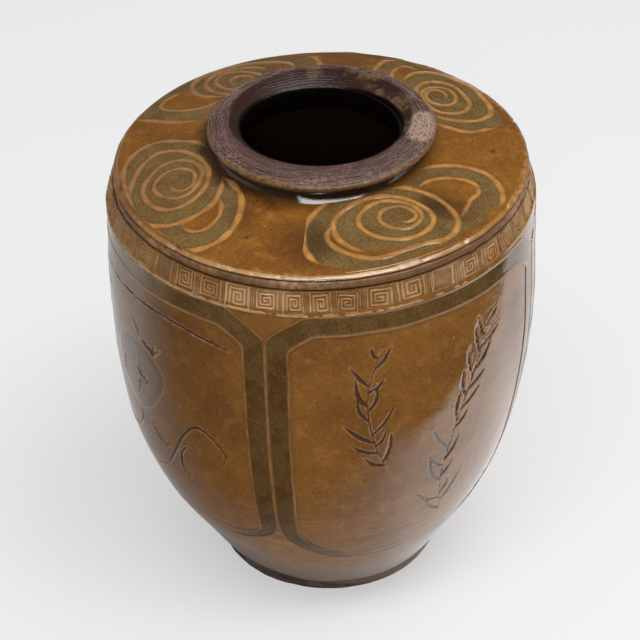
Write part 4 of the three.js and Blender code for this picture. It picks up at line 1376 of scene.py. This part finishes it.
stage_piece("floor", front + [(-x, -y, 0) for x, y, _ in front], [(0, 1, 2, 3)], floor_finish)

card_finish, tree, shader, position = new_material("dark card")
shader.inputs["Base Color"].default_value = (0.02, 0.02, 0.02, 1)
shader.inputs["Roughness"].default_value = 1.0
shader.inputs["Specular IOR Level"].default_value = 0.0
feed(shader.inputs["Alpha"], mark_of(tree, "cover"))
across = np.linspace(-CARD_REACH, CARD_REACH, CARD_COLUMNS)
across, deep = np.meshgrid(across, np.linspace(-CARD_REACH, CARD_FAR_SIDE, CARD_ROWS))
spots = np.stack([across, deep], axis=-1).reshape(-1, 2)
reach = area_gap(spots / CARD_SCALE, np.array(CARD_CORNERS) / CARD_SCALE) * CARD_SCALE
feather = CARD_EDGE + (CARD_FEATHER - CARD_EDGE) * np.clip((FEATHER_FROM - spots[:, 0]) / FEATHER_SPAN, 0, 1)
cover = np.clip(0.5 - reach / feather / 2, 0, 1)
turned_card = spots[:, :1] * towards(90) - spots[:, 1:] * towards(0) + (0, 0, CARD_LIFT)
cells = cells_of(np.arange(len(spots)).reshape(across.shape))
card = stage_piece("dark_card", (turned_card * MM).tolist(), cells.tolist(), card_finish)
card.data.attributes.new("cover", "FLOAT", "POINT").data.foreach_set("value", cover.astype(np.float32))
# Painted reflection: the dark card is seen only in reflections.
card.visible_camera = False
card.visible_diffuse = False
card.visible_shadow = False

# Light: softboxes above the front and to the right of the jar, and a small one by the camera.
# The room fills the shadows, and it is nearly dark in the glaze's reflections.
ROOM_FILL = (0.385, 0.385, 0.385, 1)
ROOM_REFLECTED = (0.07, 0.07, 0.07, 1)
LAMP_AIM = Vector((0, 0, 0.18))
world = bpy.data.worlds.new("dim room")
bpy.context.scene.world = world
world.use_nodes = True
room = world.node_tree
backdrop = room.nodes["Background"]
ray = room.nodes.new("ShaderNodeLightPath").outputs
fill = blend(ray["Is Glossy Ray"], ROOM_FILL, ROOM_REFLECTED)
feed(backdrop.inputs["Color"], blend(ray["Is Camera Ray"], fill, FLOOR_GREY))


def softbox(name, place, width, depth, watts):
    """Area lamp at a place given in metres as the camera sees it, aimed at the jar's middle."""
    lamp = bpy.data.lights.new(name, "AREA")
    lamp.shape = "RECTANGLE"
    lamp.size = width
    lamp.size_y = depth
    lamp.energy = watts
    fitting = put_in(name, lamp)
    spot = Matrix.Rotation(PHOTO_SIDE, 3, "Z") @ Vector(place)
    fitting.location = spot
    fitting.rotation_euler = (LAMP_AIM - spot).to_track_quat("-Z", "Y").to_euler()


softbox("front_softbox", (0.16, -0.9, 2.4), 2.2, 0.6, 36.0)
softbox("right_softbox", (1.0, -0.1, 2.7), 1.4, 1.4, 22.0)
softbox("camera_softbox", (-0.05, -1.9, 1.5), 0.24, 0.24, 3.4)

# Camera: stands in front of the left edge of panel 1 and looks down on the shoulder.
# Its place, roll and lens are fitted to the jar's outline in the photo.
CAMERA_TARGET = Vector((0, 0, 0.185))
CAMERA_DISTANCE = 2.1
CAMERA_TILT = math.radians(36.47)
CAMERA_ROLL = math.radians(-1.45)
FOCAL_PIXELS = 2874.2
PICTURE_PIXELS = 640
SENSOR_WIDTH = 36.0
PICTURE_MIDDLE = (322.4, 326.8)

lens = bpy.data.cameras.new("camera")
lens.sensor_width = SENSOR_WIDTH
lens.lens = SENSOR_WIDTH * FOCAL_PIXELS / PICTURE_PIXELS
lens.shift_x = (PICTURE_PIXELS / 2 - PICTURE_MIDDLE[0]) / PICTURE_PIXELS
lens.shift_y = (PICTURE_MIDDLE[1] - PICTURE_PIXELS / 2) / PICTURE_PIXELS
level = math.cos(CAMERA_TILT)
away = Vector((math.sin(PHOTO_SIDE) * level, -math.cos(PHOTO_SIDE) * level, math.sin(CAMERA_TILT)))
camera = put_in("camera", lens)
look = (-away).to_track_quat("-Z", "Y").to_matrix().to_4x4() @ Matrix.Rotation(CAMERA_ROLL, 4, "Z")
camera.matrix_world = Matrix.Translation(CAMERA_TARGET + away * CAMERA_DISTANCE) @ look
bpy.context.scene.camera = camera
bpy.context.scene.view_settings.view_transform = "Standard"
